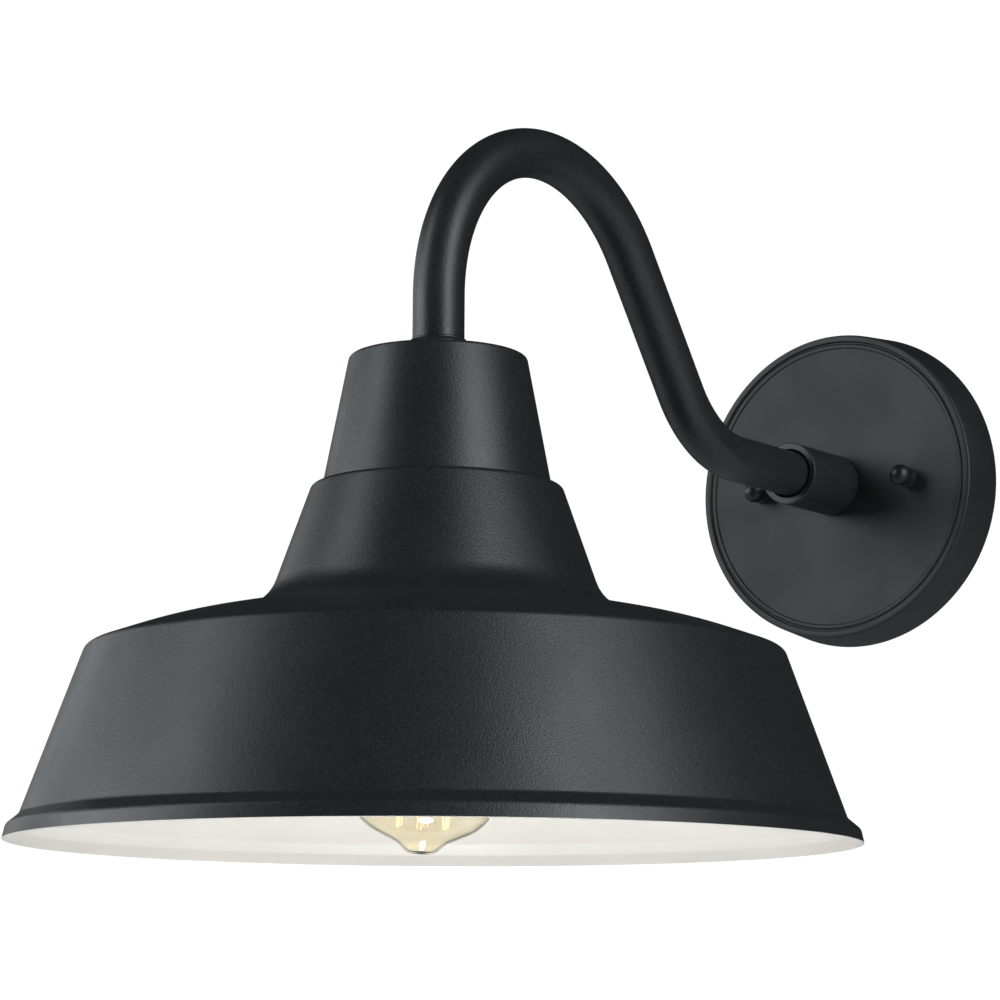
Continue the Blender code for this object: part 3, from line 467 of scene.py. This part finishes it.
def lathe(loop, steps, ripple=None, inner_from=None):
    """A bmesh of revolution about Z from a loop of (radius, height) points.

    ripple(angle, radius, height) gives a new radius. Faces from loop point inner_from on get slot 1.
    """
    shape = bmesh.new()
    columns = []
    for radius, height in loop:
        if radius < NOTHING:
            columns.append([shape.verts.new((0.0, 0.0, height))] * steps)
            continue
        column = []
        for step in range(steps):
            angle = math.tau * step / steps
            reach = ripple(angle, radius, height) if ripple else radius
            column.append(shape.verts.new((reach * math.cos(angle), reach * math.sin(angle), height)))
        columns.append(column)
    closed = loop[0][0] > NOTHING or loop[-1][0] > NOTHING
    count = len(columns)
    for index in range(count if closed else count - 1):
        first, second = columns[index], columns[(index + 1) % count]
        for step in range(steps):
            following = (step + 1) % steps
            corners = [first[step], first[following], second[following], second[step]]
            distinct = list(dict.fromkeys(corners))
            if len(distinct) < 3:
                continue
            face = shape.faces.new(distinct)
            if inner_from is not None and index >= inner_from:
                face.material_index = 1
    return shape


def turned(name, loop, finish, body, nodes, centre=SHADE_AXIS, turn=UPRIGHT,
           steps=MEDIUM_ROUND, ripple=None):
    """A piece of revolution about its own Z, in one finish."""
    return piece(name, lathe(loop, steps, ripple), [finish], body, nodes, centre, turn)


def ring(outer, inner, low, high, ease):
    """The loop of a ring or tube, with eased edges."""
    corners = [(outer, high, ease), (outer, low, ease), (inner, low, ease), (inner, high, ease)]
    return rounded(corners, 3)


def cut(target, cutter_shape, place):
    """Cuts a shape out of a piece and keeps the result as its mesh."""
    bmesh.ops.recalc_face_normals(cutter_shape, faces=cutter_shape.faces)
    mesh = bpy.data.meshes.new("cutter")
    cutter_shape.to_mesh(mesh)
    cutter_shape.free()
    for finish in target.data.materials:
        mesh.materials.append(finish)
    cutter = bpy.data.objects.new("cutter", mesh)
    bpy.context.scene.collection.objects.link(cutter)
    cutter.matrix_world = place
    modifier = target.modifiers.new("cut", "BOOLEAN")
    modifier.operation = "DIFFERENCE"
    modifier.object = cutter
    bpy.context.view_layer.update()
    graph = bpy.context.evaluated_depsgraph_get()
    result = bpy.data.meshes.new_from_object(target.evaluated_get(graph))
    target.modifiers.clear()
    target.data = result
    result.set_sharp_from_angle(angle=SHARP_ANGLE)
    bpy.data.objects.remove(cutter)


def cylinder(radius, length, sides=SMALL_ROUND):
    shape = bmesh.new()
    bmesh.ops.create_cone(
        shape, cap_ends=True, segments=sides, radius1=radius, radius2=radius, depth=length
    )
    return shape


def block(width, depth, height):
    shape = bmesh.new()
    bmesh.ops.create_cube(shape, size=1.0)
    shape.transform(Matrix.Diagonal((width, depth, height, 1.0)))
    return shape


def drive_cross(target, place, reach, width, depth):
    """Cuts a cross-shaped driver recess, with its middle at a place on the screw's face."""
    cut(target, block(reach, width, depth), place)
    cut(target, block(width, reach, depth), place)


def thread(pitch, depth, low, high, run_out):
    """A ripple for lathe: a right-hand round thread between two heights, fading at its ends."""

    def radius_at(angle, radius, height):
        fade = min(1.0, max(0.0, (height - low) / run_out), max(0.0, (high - height) / run_out))
        return radius + depth * (0.5 * math.cos(math.tau * height / pitch - angle) - 0.5) * fade

    return radius_at


def levels(low, high, spacing):
    """Evenly spaced values from low to high, about spacing apart."""
    count = max(2, round(abs(high - low) / spacing))
    return [low + (high - low) * step / count for step in range(count + 1)]


def arm_path(spacing):
    """The arm's centreline as (y, z): up from the shade, over the arch, down and into the sleeve."""
    arch = Vector((-REACH + ARCH_RADIUS, ARCH_CENTRE_Z))
    points = [Vector((-REACH, z)) for z in levels(ARM_FOOT_Z, ARCH_CENTRE_Z, spacing)[:-1]]
    sweep = math.pi / 2 + ARM_DESCENT
    for angle in levels(math.pi, math.pi - sweep, spacing / ARCH_RADIUS):
        points.append(arch + ARCH_RADIUS * Vector((math.cos(angle), math.sin(angle))))
    level_y = points[-1].x + points[-1].y / math.tan(ARM_DESCENT)
    bend = Vector((level_y + LOWER_BEND_RADIUS * math.tan(ARM_DESCENT / 2), LOWER_BEND_RADIUS))
    curve = [
        bend + LOWER_BEND_RADIUS * Vector((math.cos(angle), math.sin(angle)))
        for angle in levels(-math.pi / 2 - ARM_DESCENT, -math.pi / 2, spacing / LOWER_BEND_RADIUS)
    ]
    slope = curve[0] - points[-1]
    steps = max(2, round(slope.length / spacing))
    points += [points[-1] + slope * step / steps for step in range(1, steps)]
    points += curve
    return points + [Vector((y, 0.0)) for y in levels(curve[-1].x, -SLEEVE_SEAT - GAP, spacing)[1:]]


def sweep_tube(path, outer, inner, sides):
    """A bmesh of a hollow tube along a path of (y, z) points in the plane x = 0, with flat ring ends."""
    shape = bmesh.new()
    rings = []
    for index, point in enumerate(path):
        ahead = path[min(index + 1, len(path) - 1)]
        behind = path[max(index - 1, 0)]
        way = (ahead - behind).normalized()
        across = Vector((0.0, -way.y, way.x))
        spot = Vector((0.0, point.x, point.y))
        loops = []
        for radius in (outer, inner):
            angles = [math.tau * side / sides for side in range(sides)]
            offsets = [Vector((math.cos(a), 0.0, 0.0)) + across * math.sin(a) for a in angles]
            loops.append([shape.verts.new(spot + offset * radius) for offset in offsets])
        rings.append(loops)
    pairs = [(low[wall], high[wall]) for wall in (0, 1) for low, high in zip(rings[:-1], rings[1:])]
    pairs += [(rings[0][0], rings[0][1]), (rings[-1][0], rings[-1][1])]
    for first, second in pairs:
        for side in range(sides):
            following = (side + 1) % sides
            shape.faces.new((first[side], first[following], second[following], second[side]))
    return shape


def smooth_path(knots, spacing):
    """Points at about even spacing on a Catmull-Rom curve through the knots."""
    knots = [Vector(knot) for knot in knots]
    padded = [2 * knots[0] - knots[1], *knots, 2 * knots[-1] - knots[-2]]
    points = []
    for a, b, c, d in zip(padded[:-3], padded[1:-2], padded[2:-1], padded[3:]):
        steps = max(1, round((c - b).length / spacing))
        for step in range(steps):
            t = step / steps
            bend = (2 * a - 5 * b + 4 * c - d) * t + (3 * b - a - 3 * c + d) * t * t
            points.append(b + ((c - a) + bend) * t / 2)
    return points + [knots[-1]]


def wire(points, radius, sides, closed=False):
    """A bmesh of a round wire along points, with flat ends."""
    shape = bmesh.new()
    count = len(points)
    side_way = None
    turns = [math.tau * side / sides for side in range(sides)]
    loops = []
    for index, point in enumerate(points):
        ahead = points[(index + 1) % count] if closed else points[min(index + 1, count - 1)]
        behind = points[index - 1] if closed else points[max(index - 1, 0)]
        way = (ahead - behind).normalized()
        if side_way is None:
            side_way = way.orthogonal()
        side_way = (side_way - way * side_way.dot(way)).normalized()
        other = way.cross(side_way)
        offsets = [side_way * math.cos(a) + other * math.sin(a) for a in turns]
        loops.append([shape.verts.new(point + offset * radius) for offset in offsets])
    runs = list(zip(loops[:-1], loops[1:]))
    if closed:
        runs.append((loops[-1], loops[0]))
    else:
        shape.faces.new(loops[0])
        shape.faces.new(loops[-1])
    for first, second in runs:
        for side in range(sides):
            following = (side + 1) % sides
            shape.faces.new((first[side], first[following], second[following], second[side]))
    return shape


# Fixture


def make_canopy():
    hole = NIPPLE_RADIUS + GAP
    front = CANOPY_FRONT_RADIUS
    groove = CANOPY_FACE - 0.0002
    outer = [
        (hole, CANOPY_FACE, 0),
        (front - 0.0070, CANOPY_FACE, 0.0004),
        (front - 0.0064, CANOPY_BEAD, 0.0003),
        (front - 0.0050, CANOPY_BEAD, 0.0003),
        (front - 0.0043, groove, 0.0002),
        (front - 0.0037, groove, 0.0002),
        (front - 0.0032, CANOPY_DEPTH, 0.0003),
        (front, CANOPY_DEPTH, 0.0012),
        (CANOPY_RADIUS, CANOPY_REAR, 0.0003),
    ]
    inside = [
        (CANOPY_RADIUS - CANOPY_SHEET, CANOPY_REAR, 0.0002),
        (front - CANOPY_SHEET, groove - CANOPY_SHEET, 0),
        (hole, CANOPY_FACE - CANOPY_SHEET, 0),
    ]
    canopy = turned("canopy_spun", rounded(outer + inside, 5), "canopy_black", "fixture", ["canopy"],
                    CANOPY_AXIS, TOWARDS_ROOM, LARGE_ROUND)
    for _, side in SIDES:
        spot = Vector((side * KNOB_SPACING / 2, -CANOPY_FACE, 0.0))
        cut(canopy, cylinder(STUD_RADIUS + 2 * GAP, DRILL_LENGTH), Matrix.Translation(spot) @ TOWARDS_ROOM)
    turned("gasket_foam", ring(GASKET_OUTER_RADIUS, GASKET_INNER_RADIUS, 0.0, CANOPY_REAR - GAP, 0.0003),
           "foam", "fixture", ["canopy_gasket"], CANOPY_AXIS, TOWARDS_ROOM, LARGE_ROUND)


def make_knobs():
    washer_low = CANOPY_FACE + GAP
    washer_high = washer_low + SEAL_THICKNESS
    base = washer_high + GAP
    hole = STUD_RADIUS + GAP
    ball = [
        (BALL_RADIUS * math.cos(angle), BALL_CENTRE + BALL_RADIUS * math.sin(angle))
        for angle in levels(math.radians(90.0), math.radians(-45.0), math.radians(5.0))
    ]
    ball[0] = (0.0, BALL_CENTRE + BALL_RADIUS)
    neck = rounded(
        [
            (KNOB_NECK_RADIUS, BALL_CENTRE - 0.0041, 0.0002),
            (KNOB_NECK_RADIUS, base + 0.0016, 0.0002),
            (KNOB_FOOT_RADIUS, base + 0.0010, 0.0003),
            (KNOB_FOOT_RADIUS, base, 0.0002),
            (hole + 0.0003, base, 0),
        ],
        4,
    )[1:]
    hollow = [(hole, base + 0.0003), (hole, STUD_TIP + 0.0010), (0.0, STUD_TIP + 0.0016)]
    thread_low = STUD_REAR + 0.0002
    for label, side in SIDES:
        spot = Vector((side * KNOB_SPACING / 2, 0.0, 0.0))
        turned(f"knob_{label}_ball", ball + neck + hollow, "knob_black", f"knob_{label}", [f"knob_{label}"],
               spot, TOWARDS_ROOM, SMALL_ROUND)
        turned(f"knob_{label}_seal", ring(SEAL_RADIUS, hole, washer_low, washer_high, 0.0002), "rubber",
               f"washer_{label}", [f"knob_washer_{label}"], spot, TOWARDS_ROOM, SMALL_ROUND)
        rod = [(0.0, STUD_REAR), (STUD_RADIUS, STUD_REAR)]
        rod += [(STUD_RADIUS, height) for height in levels(thread_low, STUD_TIP - 0.0008, STUD_PITCH / 6)]
        rod += [(STUD_RADIUS - 0.0008, STUD_TIP), (0.0, STUD_TIP)]
        ripple = thread(STUD_PITCH, STUD_THREAD_DEPTH, thread_low, STUD_TIP - 0.0006, 0.0010)
        turned(f"stud_{label}_threaded", rod, "zinc", "fixture", [f"stud_{label}"], spot,
               TOWARDS_ROOM, SCREW_ROUND, ripple)


def make_sleeve():
    hole = NIPPLE_RADIUS + GAP
    rear = CANOPY_FACE + GAP
    arm_bore = ARM_RADIUS + GAP + 0.0002
    outer = [
        (hole, rear, 0),
        (SLEEVE_RADIUS, rear, 0.0025),
        (SLEEVE_RADIUS, SLEEVE_FRONT, 0.0006),
        (arm_bore + 0.0008, SLEEVE_FRONT, 0.0002),
        (arm_bore, SLEEVE_FRONT - 0.0012, 0.0002),
        (arm_bore, SLEEVE_SEAT, 0),
        (hole, SLEEVE_SEAT, 0),
    ]
    sleeve = turned("sleeve_turned", rounded(outer), "powder_black", "fixture", ["arm_sleeve"],
                    CANOPY_AXIS, TOWARDS_ROOM, MEDIUM_ROUND)
    screw_at = Vector((SET_SCREW_X, SET_SCREW_Y, 0.0))
    facing = Matrix.Rotation(math.radians(-90.0), 4, "Y")
    cut(sleeve, cylinder(SET_SCREW_RADIUS + GAP, 0.0050), Matrix.Translation(screw_at) @ facing)
    half = SET_SCREW_LENGTH / 2
    corners = [
        (0.0, half, 0),
        (SET_SCREW_RADIUS, half, 0.0003),
        (SET_SCREW_RADIUS, -half, 0.0003),
        (0.0, -half, 0),
    ]
    screw = turned("set_screw_hex", rounded(corners, 3), "zinc", "fixture", ["sleeve_set_screw"],
                   screw_at, facing, SCREW_ROUND)
    key_hole = screw_at - Vector((half, 0.0, 0.0))
    key = cylinder(SET_SCREW_KEY_RADIUS, 2 * SET_SCREW_KEY_DEPTH, 6)
    cut(screw, key, Matrix.Translation(key_hole) @ facing)


def make_arm():
    shape = sweep_tube(arm_path(0.0030), ARM_RADIUS, ARM_RADIUS - ARM_WALL, ARM_ROUND)
    piece("arm_bent_tube", shape, ["powder_black"], "fixture", ["arm_tube"])
    hole = NIPPLE_RADIUS + GAP
    low = CAP_TOP_Z + GAP
    plug = ARM_RADIUS - ARM_WALL - GAP - 0.0002
    collar = rounded(
        [
            (0.0120, ARM_FOOT_Z - GAP, 0.0003),
            (0.0120, ARM_FOOT_Z - 0.0010, 0.0003),
            (COLLAR_RADIUS, ARM_FOOT_Z - 0.0026, 0.0010),
            (COLLAR_RADIUS, low, 0.0002),
            (hole, low, 0),
            (hole, ARM_FOOT_Z + 0.0100, 0),
            (plug, ARM_FOOT_Z + 0.0100, 0),
            (plug, ARM_FOOT_Z - GAP, 0),
        ],
        4,
    )
    turned("arm_foot_collar", collar, "powder_black", "fixture", ["arm_collar"])


def make_cap():
    outline = rounded(
        [
            (NIPPLE_RADIUS + GAP, CAP_TOP_Z, 0),
            (CAP_TOP_RADIUS, CAP_TOP_Z, 0.0020),
            (CAP_BOTTOM_RADIUS, CAP_BOTTOM_Z, 0),
        ]
    )
    turned("neck_cap_spun", sheet(outline, SHEET), "powder_black", "fixture", ["neck_cap"],
           steps=LARGE_ROUND)


def make_shade():
    outline = rounded(
        [
            (FLANGE_HOLE_RADIUS, FLANGE_Z, 0),
            (0.0534, FLANGE_Z, 0.0030),
            (0.0715, -0.0999, 0.0200),
            (0.1194, -0.1101, 0.2140),
            (0.1469, -0.1198, 0.0040),
            (0.1717, -0.1894, 0.0032),
            (0.1770, -0.1938, 0.0031),
            (RIM_RADIUS, RIM_Z, 0),
        ]
    )
    loop = sheet(outline, SHEET)
    shape = lathe(loop, LARGE_ROUND, inner_from=len(outline) - 1)
    shade = piece("shade_spun", shape, ["powder_black", "shade_white"], "fixture", ["shade"],
                  SHADE_AXIS)
    for _, side in SIDES:
        spot = SHADE_AXIS + Vector((side * STRAP_SCREW_X, 0.0, FLANGE_Z))
        cut(shade, cylinder(STRAP_SCREW_HOLE, DRILL_LENGTH), Matrix.Translation(spot))


def make_strap_screws():
    top = FLANGE_Z + 0.0063
    seat = FLANGE_Z - SHEET - GAP
    low = seat - 0.0024
    outline = rounded(
        [
            (0.0, top, 0),
            (STRAP_SCREW_RADIUS, top, 0.0003),
            (STRAP_SCREW_RADIUS, seat, 0),
            (STRAP_SCREW_HEAD_RADIUS, seat, 0.0003),
            (STRAP_SCREW_HEAD_RADIUS - 0.0006, seat - 0.0020, 0.0012),
            (0.0, low, 0),
        ],
        4,
    )
    for label, side in SIDES:
        spot = SHADE_AXIS + Vector((side * STRAP_SCREW_X, 0.0, 0.0))
        screw = turned(f"strap_screw_{label}_pan", outline, "zinc", "fixture", [f"strap_screw_{label}"],
                       spot, UPRIGHT, 32)
        drive_cross(screw, Matrix.Translation(spot + UP * low), STRAP_SCREW_HEAD_RADIUS,
                    STRAP_SCREW_CROSS_WIDTH, STRAP_SCREW_CROSS_DEPTH)


def make_holder():
    top = HOLDER_TOP_Z
    body = rounded(
        [
            (0.0, top, 0),
            (HOLDER_TOP_RADIUS, top, 0.0006),
            (HOLDER_TOP_RADIUS, top - 0.0100, 0.0006),
            (HOLDER_RADIUS, top - 0.0130, 0.0010),
            (HOLDER_RADIUS, HOLDER_MOUTH_Z, 0.0014),
            (HOLDER_BORE, HOLDER_MOUTH_Z, 0.0006),
            (HOLDER_BORE, HOLDER_FLOOR_Z, 0),
            (0.0, HOLDER_FLOOR_Z, 0),
        ],
        5,
    )
    holder = turned("socket_porcelain", body, "porcelain", "fixture", ["socket_body"])
    hole_middle = UP * (top - 0.0035)
    for _, side in SIDES:
        lead_hole = SHADE_AXIS + Vector((side * HOLDER_LEAD_X, 0.0, 0.0)) + hole_middle
        screw_hole = SHADE_AXIS + Vector((0.0, side * HOLDER_SCREW_Y, 0.0)) + hole_middle
        for radius, spot in ((HOLDER_LEAD_HOLE, lead_hole), (HOLDER_SCREW_HOLE, screw_hole)):
            cut(holder, cylinder(radius, DRILL_LENGTH, SCREW_ROUND), Matrix.Translation(spot))


def make_holder_shell():
    low = HOLDER_MOUTH_Z + 0.0020
    high = HOLDER_FLOOR_Z - GAP
    outer = HOLDER_BORE - GAP
    loop = [(outer, height) for height in levels(high, low, BULB_THREAD_STEP)]
    loop += [(outer - 0.0006, height) for height in levels(low, high, BULB_THREAD_STEP)]
    turned("socket_threaded_shell", loop, "brass", "fixture", ["socket_shell"],
           steps=THREAD_ROUND, ripple=thread(BULB_PITCH, HOLDER_THREAD_DEPTH, low, high, BULB_PITCH))


def arm_lead_knots(side):
    """Points along a lead, from the lamp holder up through the arm and down into the canopy."""
    knots = [
        (side * HOLDER_LEAD_X, -REACH, HOLDER_TOP_Z - 0.0070),
        (side * HOLDER_LEAD_X, -REACH, HOLDER_TOP_Z + 0.0020),
        (side * 0.0030, -REACH, -0.0395),
        (side * LEAD_OFFSET, -REACH, -0.0340),
    ]
    knots += [(side * LEAD_OFFSET, point.x, point.y) for point in arm_path(0.0140)]
    knots += [
        (side * LEAD_OFFSET, -0.0110, 0.0),
        (side * 0.0030, -0.0085, -0.0030),
        (side * 0.0090, -0.0085, -0.0110),
        (side * 0.0170, -0.0095, -0.0190),
        (side * CONNECTOR_X, -0.0110, -0.0270),
        (side * CONNECTOR_X, -CONNECTOR_DEPTH, -0.0345),
    ]
    return knots


def connector_ribs(angle, radius, height):
    """A ripple for lathe: round ribs along a wire connector's side."""
    if not CONNECTOR_RIB_LOW < height < CONNECTOR_RIB_HIGH:
        return radius
    bulge = abs(math.sin(CONNECTOR_RIBS / 2 * angle))
    return radius * (1.0 + (CONNECTOR_RIB_DEPTH * bulge - CONNECTOR_RIB_DEPTH))


def make_wiring():
    for label, side in (("black", -1.0), ("white", 1.0)):
        shape = wire(smooth_path(arm_lead_knots(side), 0.0020), LEAD_RADIUS, 16)
        piece(f"lead_{label}_run", shape, [f"lead_{label}"], "fixture", [f"lead_{label}"])
        profile = rounded(
            [
                (0.0, -0.0500, 0),
                (0.0022, -0.0500, 0.0006),
                (0.0036, -0.0480, 0.0010),
                (0.0050, -0.0340, 0.0006),
                (0.0038, -0.0330, 0.0002),
                (0.0016, -0.0330, 0),
                (0.0016, -0.0350, 0),
                (0.0, -0.0350, 0),
            ],
            4,
        )
        turned(f"connector_{label}_ribbed", profile, "connector", "fixture", [f"wire_connector_{label}"],
               Vector((side * CONNECTOR_X, -CONNECTOR_DEPTH, 0.0)), UPRIGHT, MEDIUM_ROUND,
               connector_ribs)


def make_ground_lead():
    path = smooth_path(
        [
            (0.0088, -0.0229, 0.0036),
            (0.0125, -0.0216, 0.0062),
            (0.0190, -0.0182, 0.0110),
            (0.0270, -0.0120, 0.0110),
            (0.0290, -0.0075, 0.0070),
            (0.0262, -0.0048, 0.0022),
        ],
        0.0010,
    )
    piece("ground_lead_run", wire(path, GROUND_LEAD_RADIUS, 12), ["copper"], "fixture", ["ground_lead"])


# Bulb


def make_bulb_glass():
    outside = rounded(
        [
            (GLASS_NECK_RADIUS, -0.0860, 0),
            (GLASS_NECK_RADIUS, -0.0930, 0.0100),
            (BULB_RADIUS, -0.1550, 0.0450),
            (BULB_RADIUS, -0.1891, 0.0220),
            (0.0105, -0.1988, 0.0040),
            (0.0054, BULB_TIP_Z, 0.0050),
            (0.0, BULB_TIP_Z, 0),
        ],
        14,
    )
    inside = sheet(outside, GLASS_WALL)[len(outside):]
    inside[0] = Vector((0.0, BULB_TIP_Z + GLASS_WALL))
    turned("bulb_blown_glass", outside + inside, "amber_glass", "bulb", ["bulb_glass"],
           GLASS_PIVOT, GLASS_TURN, MEDIUM_ROUND)


def make_bulb_cap():
    cap_low = BULB_CAP_BOTTOM_Z + 0.0020
    cap_high = BULB_CAP_TOP_Z - 0.0030
    outer = [(0.0098, BULB_CAP_TOP_Z)]
    outer += [(BULB_CAP_RADIUS + 0.0002, height) for height in levels(cap_high, cap_low, BULB_THREAD_STEP)]
    outer += [(BULB_CAP_RADIUS, cap_low - 0.0006), (BULB_CAP_RADIUS + 0.0003, BULB_CAP_BOTTOM_Z)]
    loop = sheet([Vector(point) for point in outer], 0.0005)
    turned("bulb_threaded_cap", loop, "brass", "bulb", ["bulb_cap"], steps=THREAD_ROUND,
           ripple=thread(BULB_PITCH, BULB_THREAD_DEPTH, cap_low, cap_high, BULB_PITCH * 0.7))


def make_bulb_contact():
    insulator_top = BULB_CAP_TOP_Z + 0.0030
    insulator = rounded(
        [
            (0.0, insulator_top, 0),
            (0.0052, insulator_top, 0.0004),
            (0.0094, BULB_CAP_TOP_Z + GAP, 0.0003),
            (0.0088, BULB_CAP_TOP_Z - 0.0012, 0),
            (0.0, BULB_CAP_TOP_Z - 0.0012, 0),
        ],
        4,
    )
    turned("bulb_glass_insulator", insulator, "black_glass", "bulb", ["bulb_insulator"])
    button = rounded(
        [
            (0.0, BULB_CONTACT_Z, 0),
            (0.0030, BULB_CONTACT_Z - 0.0004, 0.0010),
            (0.0044, insulator_top + GAP, 0.0002),
            (0.0, insulator_top + GAP, 0),
        ],
        4,
    )
    turned("bulb_solder_button", button, "solder", "bulb_base", ["bulb_contact"])


def make_stem():
    outline = rounded(
        [
            (0.0, STEM_FOOT_Z, 0),
            (0.0105, STEM_FOOT_Z, 0.0004),
            (0.0105, STEM_FOOT_Z - 0.0020, 0.0010),
            (0.0045, STEM_FOOT_Z - 0.0130, 0.0060),
            (0.0035, STEM_FOOT_Z - 0.0230, 0.0020),
            (0.0014, STEM_FOOT_Z - 0.0280, 0.0020),
            (0.0014, FILAMENT_BOTTOM_Z + 0.0012, 0.0006),
            (0.0022, FILAMENT_BOTTOM_Z - 0.0005, 0.0006),
            (0.0014, FILAMENT_BOTTOM_Z - 0.0020, 0.0004),
            (0.0, FILAMENT_BOTTOM_Z - 0.0020, 0),
        ],
        5,
    )
    turned("bulb_glass_stem", outline, "clear_glass", "bulb", ["bulb_stem"], GLASS_PIVOT,
           GLASS_TURN, SMALL_ROUND)


def make_filament():
    """One closed wire that runs up and down between two rings of hooks."""
    low_hook = (FILAMENT_BOTTOM_RADIUS, FILAMENT_BOTTOM_Z)
    high_hook = (FILAMENT_TOP_RADIUS, FILAMENT_TOP_Z)
    zigzag = []
    for step in range(FILAMENT_TURNS):
        radius, height = high_hook if step % 2 else low_hook
        for hook in (-FILAMENT_HOOK, FILAMENT_HOOK):
            angle = math.tau * (step + 0.5) / FILAMENT_TURNS + hook / radius
            zigzag.append(Vector((radius * math.cos(angle), radius * math.sin(angle), height)))
    strands = []
    for first, second in zip(zigzag, zigzag[1:] + zigzag[:1]):
        steps = max(1, round((second - first).length / FILAMENT_STEP))
        strands += [first.lerp(second, step / steps) for step in range(steps)]
    piece("bulb_cage_filament", wire(strands, FILAMENT_RADIUS, 8, closed=True), ["filament"], "bulb",
          ["bulb_filament"], GLASS_PIVOT, GLASS_TURN)


def finish_cad_nodes():
    """CAD nodes whose shapes are right keep their meshes and get finished materials."""
    kept = {
        "zinc": ["box_bar", "fixture_bar", "bar_eyelet", "stud_nut_left", "stud_nut_right", "canopy_nipple",
                 "canopy_washer", "canopy_nut", "shade_nipple", "cap_washer", "cap_nut", "shade_strap",
                 "strap_nut_left", "strap_nut_right", "socket_bracket", "socket_nut_upper",
                 "socket_nut_lower", "socket_screw_front", "socket_screw_rear"],
        "brass": ["ground_terminal", "socket_contact"],
        "green_screw": ["ground_screw"],
    }
    for finish, names in kept.items():
        for name in names:
            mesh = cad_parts[name].data
            mesh.materials.clear()
            mesh.materials.append(FINISHES[finish])


# Studio


def towards(azimuth_right, elevation):
    """A unit way from the lantern, turned right from the camera's own way and raised, in degrees."""
    level = Vector((-CAMERA_FORWARD.x, -CAMERA_FORWARD.y, 0.0)).normalized()
    way = Matrix.Rotation(math.radians(azimuth_right), 3, "Z") @ level
    return way * math.cos(math.radians(elevation)) + UP * math.sin(math.radians(elevation))


def add_lamp(name, kind, colour, power):
    """A lamp that the camera doesn't see, and its object."""
    lamp = bpy.data.lights.new(name, kind)
    lamp.color = colour
    lamp.energy = power
    made = bpy.data.objects.new(name, lamp)
    bpy.context.scene.collection.objects.link(made)
    made.visible_camera = False
    return lamp, made


def soft_box(name, azimuth_right, elevation, brightness):
    """A rectangular light at a way from the lantern, with a given surface brightness."""
    power = brightness * math.pi * BOX_WIDTH * BOX_HEIGHT
    lamp, made = add_lamp(name, "AREA", BOX_COLOUR, power)
    lamp.shape = "RECTANGLE"
    lamp.size = BOX_WIDTH
    lamp.size_y = BOX_HEIGHT
    way = towards(azimuth_right, elevation)
    made.location = BOX_AIM + way * BOX_DISTANCE
    made.rotation_euler = way.to_track_quat("Z", "Y").to_euler()


def spot_below(name, half_angle, power, colour):
    """A spotlight on the shade's axis, below its rim, that shines straight up into it."""
    lamp, made = add_lamp(name, "SPOT", colour, power)
    lamp.spot_size = math.radians(2.0 * half_angle)
    lamp.spot_blend = SPOT_BLEND
    lamp.shadow_soft_size = SPOT_RADIUS
    made.location = SHADE_AXIS + UP * (RIM_Z - SPOT_DROP)
    made.rotation_euler = (math.pi, 0.0, 0.0)


def make_backdrop():
    """A white backdrop for the camera, and a faint even light for everything else."""
    world = bpy.data.worlds.new("studio")
    bpy.context.scene.world = world
    world.use_nodes = True
    nodes, links = world.node_tree.nodes, world.node_tree.links
    white = nodes["Background"]
    white.inputs["Color"].default_value = (1.0, 1.0, 1.0, 1.0)
    white.inputs["Strength"].default_value = BACKDROP_STRENGTH
    dim = nodes.new("ShaderNodeBackground")
    dim.inputs["Color"].default_value = AMBIENT_COLOUR
    dim.inputs["Strength"].default_value = AMBIENT_STRENGTH
    seen = nodes.new("ShaderNodeLightPath")
    mix = nodes.new("ShaderNodeMixShader")
    links.new(seen.outputs["Is Camera Ray"], mix.inputs[0])
    links.new(dim.outputs["Background"], mix.inputs[1])
    links.new(white.outputs["Background"], mix.inputs[2])
    links.new(mix.outputs["Shader"], nodes["World Output"].inputs["Surface"])


def make_floor():
    """A pale floor that looks evenly white and lights nothing more than its paint would."""
    shape = bmesh.new()
    bmesh.ops.create_circle(shape, cap_ends=True, segments=MEDIUM_ROUND, radius=FLOOR_RADIUS)
    mesh = bpy.data.meshes.new("floor")
    shape.to_mesh(mesh)
    shape.free()
    tree = Tree("pale_floor")
    seen = tree.add("ShaderNodeLightPath").outputs["Is Camera Ray"]
    mesh.materials.append(
        tree.set(
            Base_Color=tree.blend(tree.noise(0.6, 2.0), (0.80, 0.80, 0.79), (0.83, 0.83, 0.82)),
            Roughness=tree.span(tree.noise(0.05, 2.0), 0.55, 0.65),
            Emission_Color=(1.0, 1.0, 1.0),
            Emission_Strength=tree.span(seen, 0.0, FLOOR_GLOW, 0.0, 1.0),
        )
    )
    floor = bpy.data.objects.new("floor", mesh)
    bpy.context.scene.collection.objects.link(floor)
    floor.location = FLOOR_SPOT


def make_camera():
    scene = bpy.context.scene
    lens = bpy.data.cameras.new("camera")
    lens.lens = CAMERA_LENS
    lens.sensor_width = CAMERA_SENSOR
    camera = bpy.data.objects.new("camera", lens)
    scene.collection.objects.link(camera)
    up = CAMERA_RIGHT.cross(CAMERA_FORWARD)
    axes = Matrix((CAMERA_RIGHT, up, -CAMERA_FORWARD)).transposed().to_4x4()
    camera.matrix_world = Matrix.Translation(CAMERA_SPOT) @ axes
    scene.camera = camera
    scene.view_settings.view_transform = "Standard"


make_canopy()
make_knobs()
make_sleeve()
make_arm()
make_cap()
make_shade()
make_strap_screws()
make_holder()
make_holder_shell()
make_wiring()
make_ground_lead()
make_bulb_glass()
make_bulb_cap()
make_bulb_contact()
make_stem()
make_filament()
finish_cad_nodes()

make_backdrop()
for box in SOFT_BOXES:
    soft_box(*box)
for spot_light in SPOTS:
    spot_below(*spot_light)
make_floor()
make_camera()
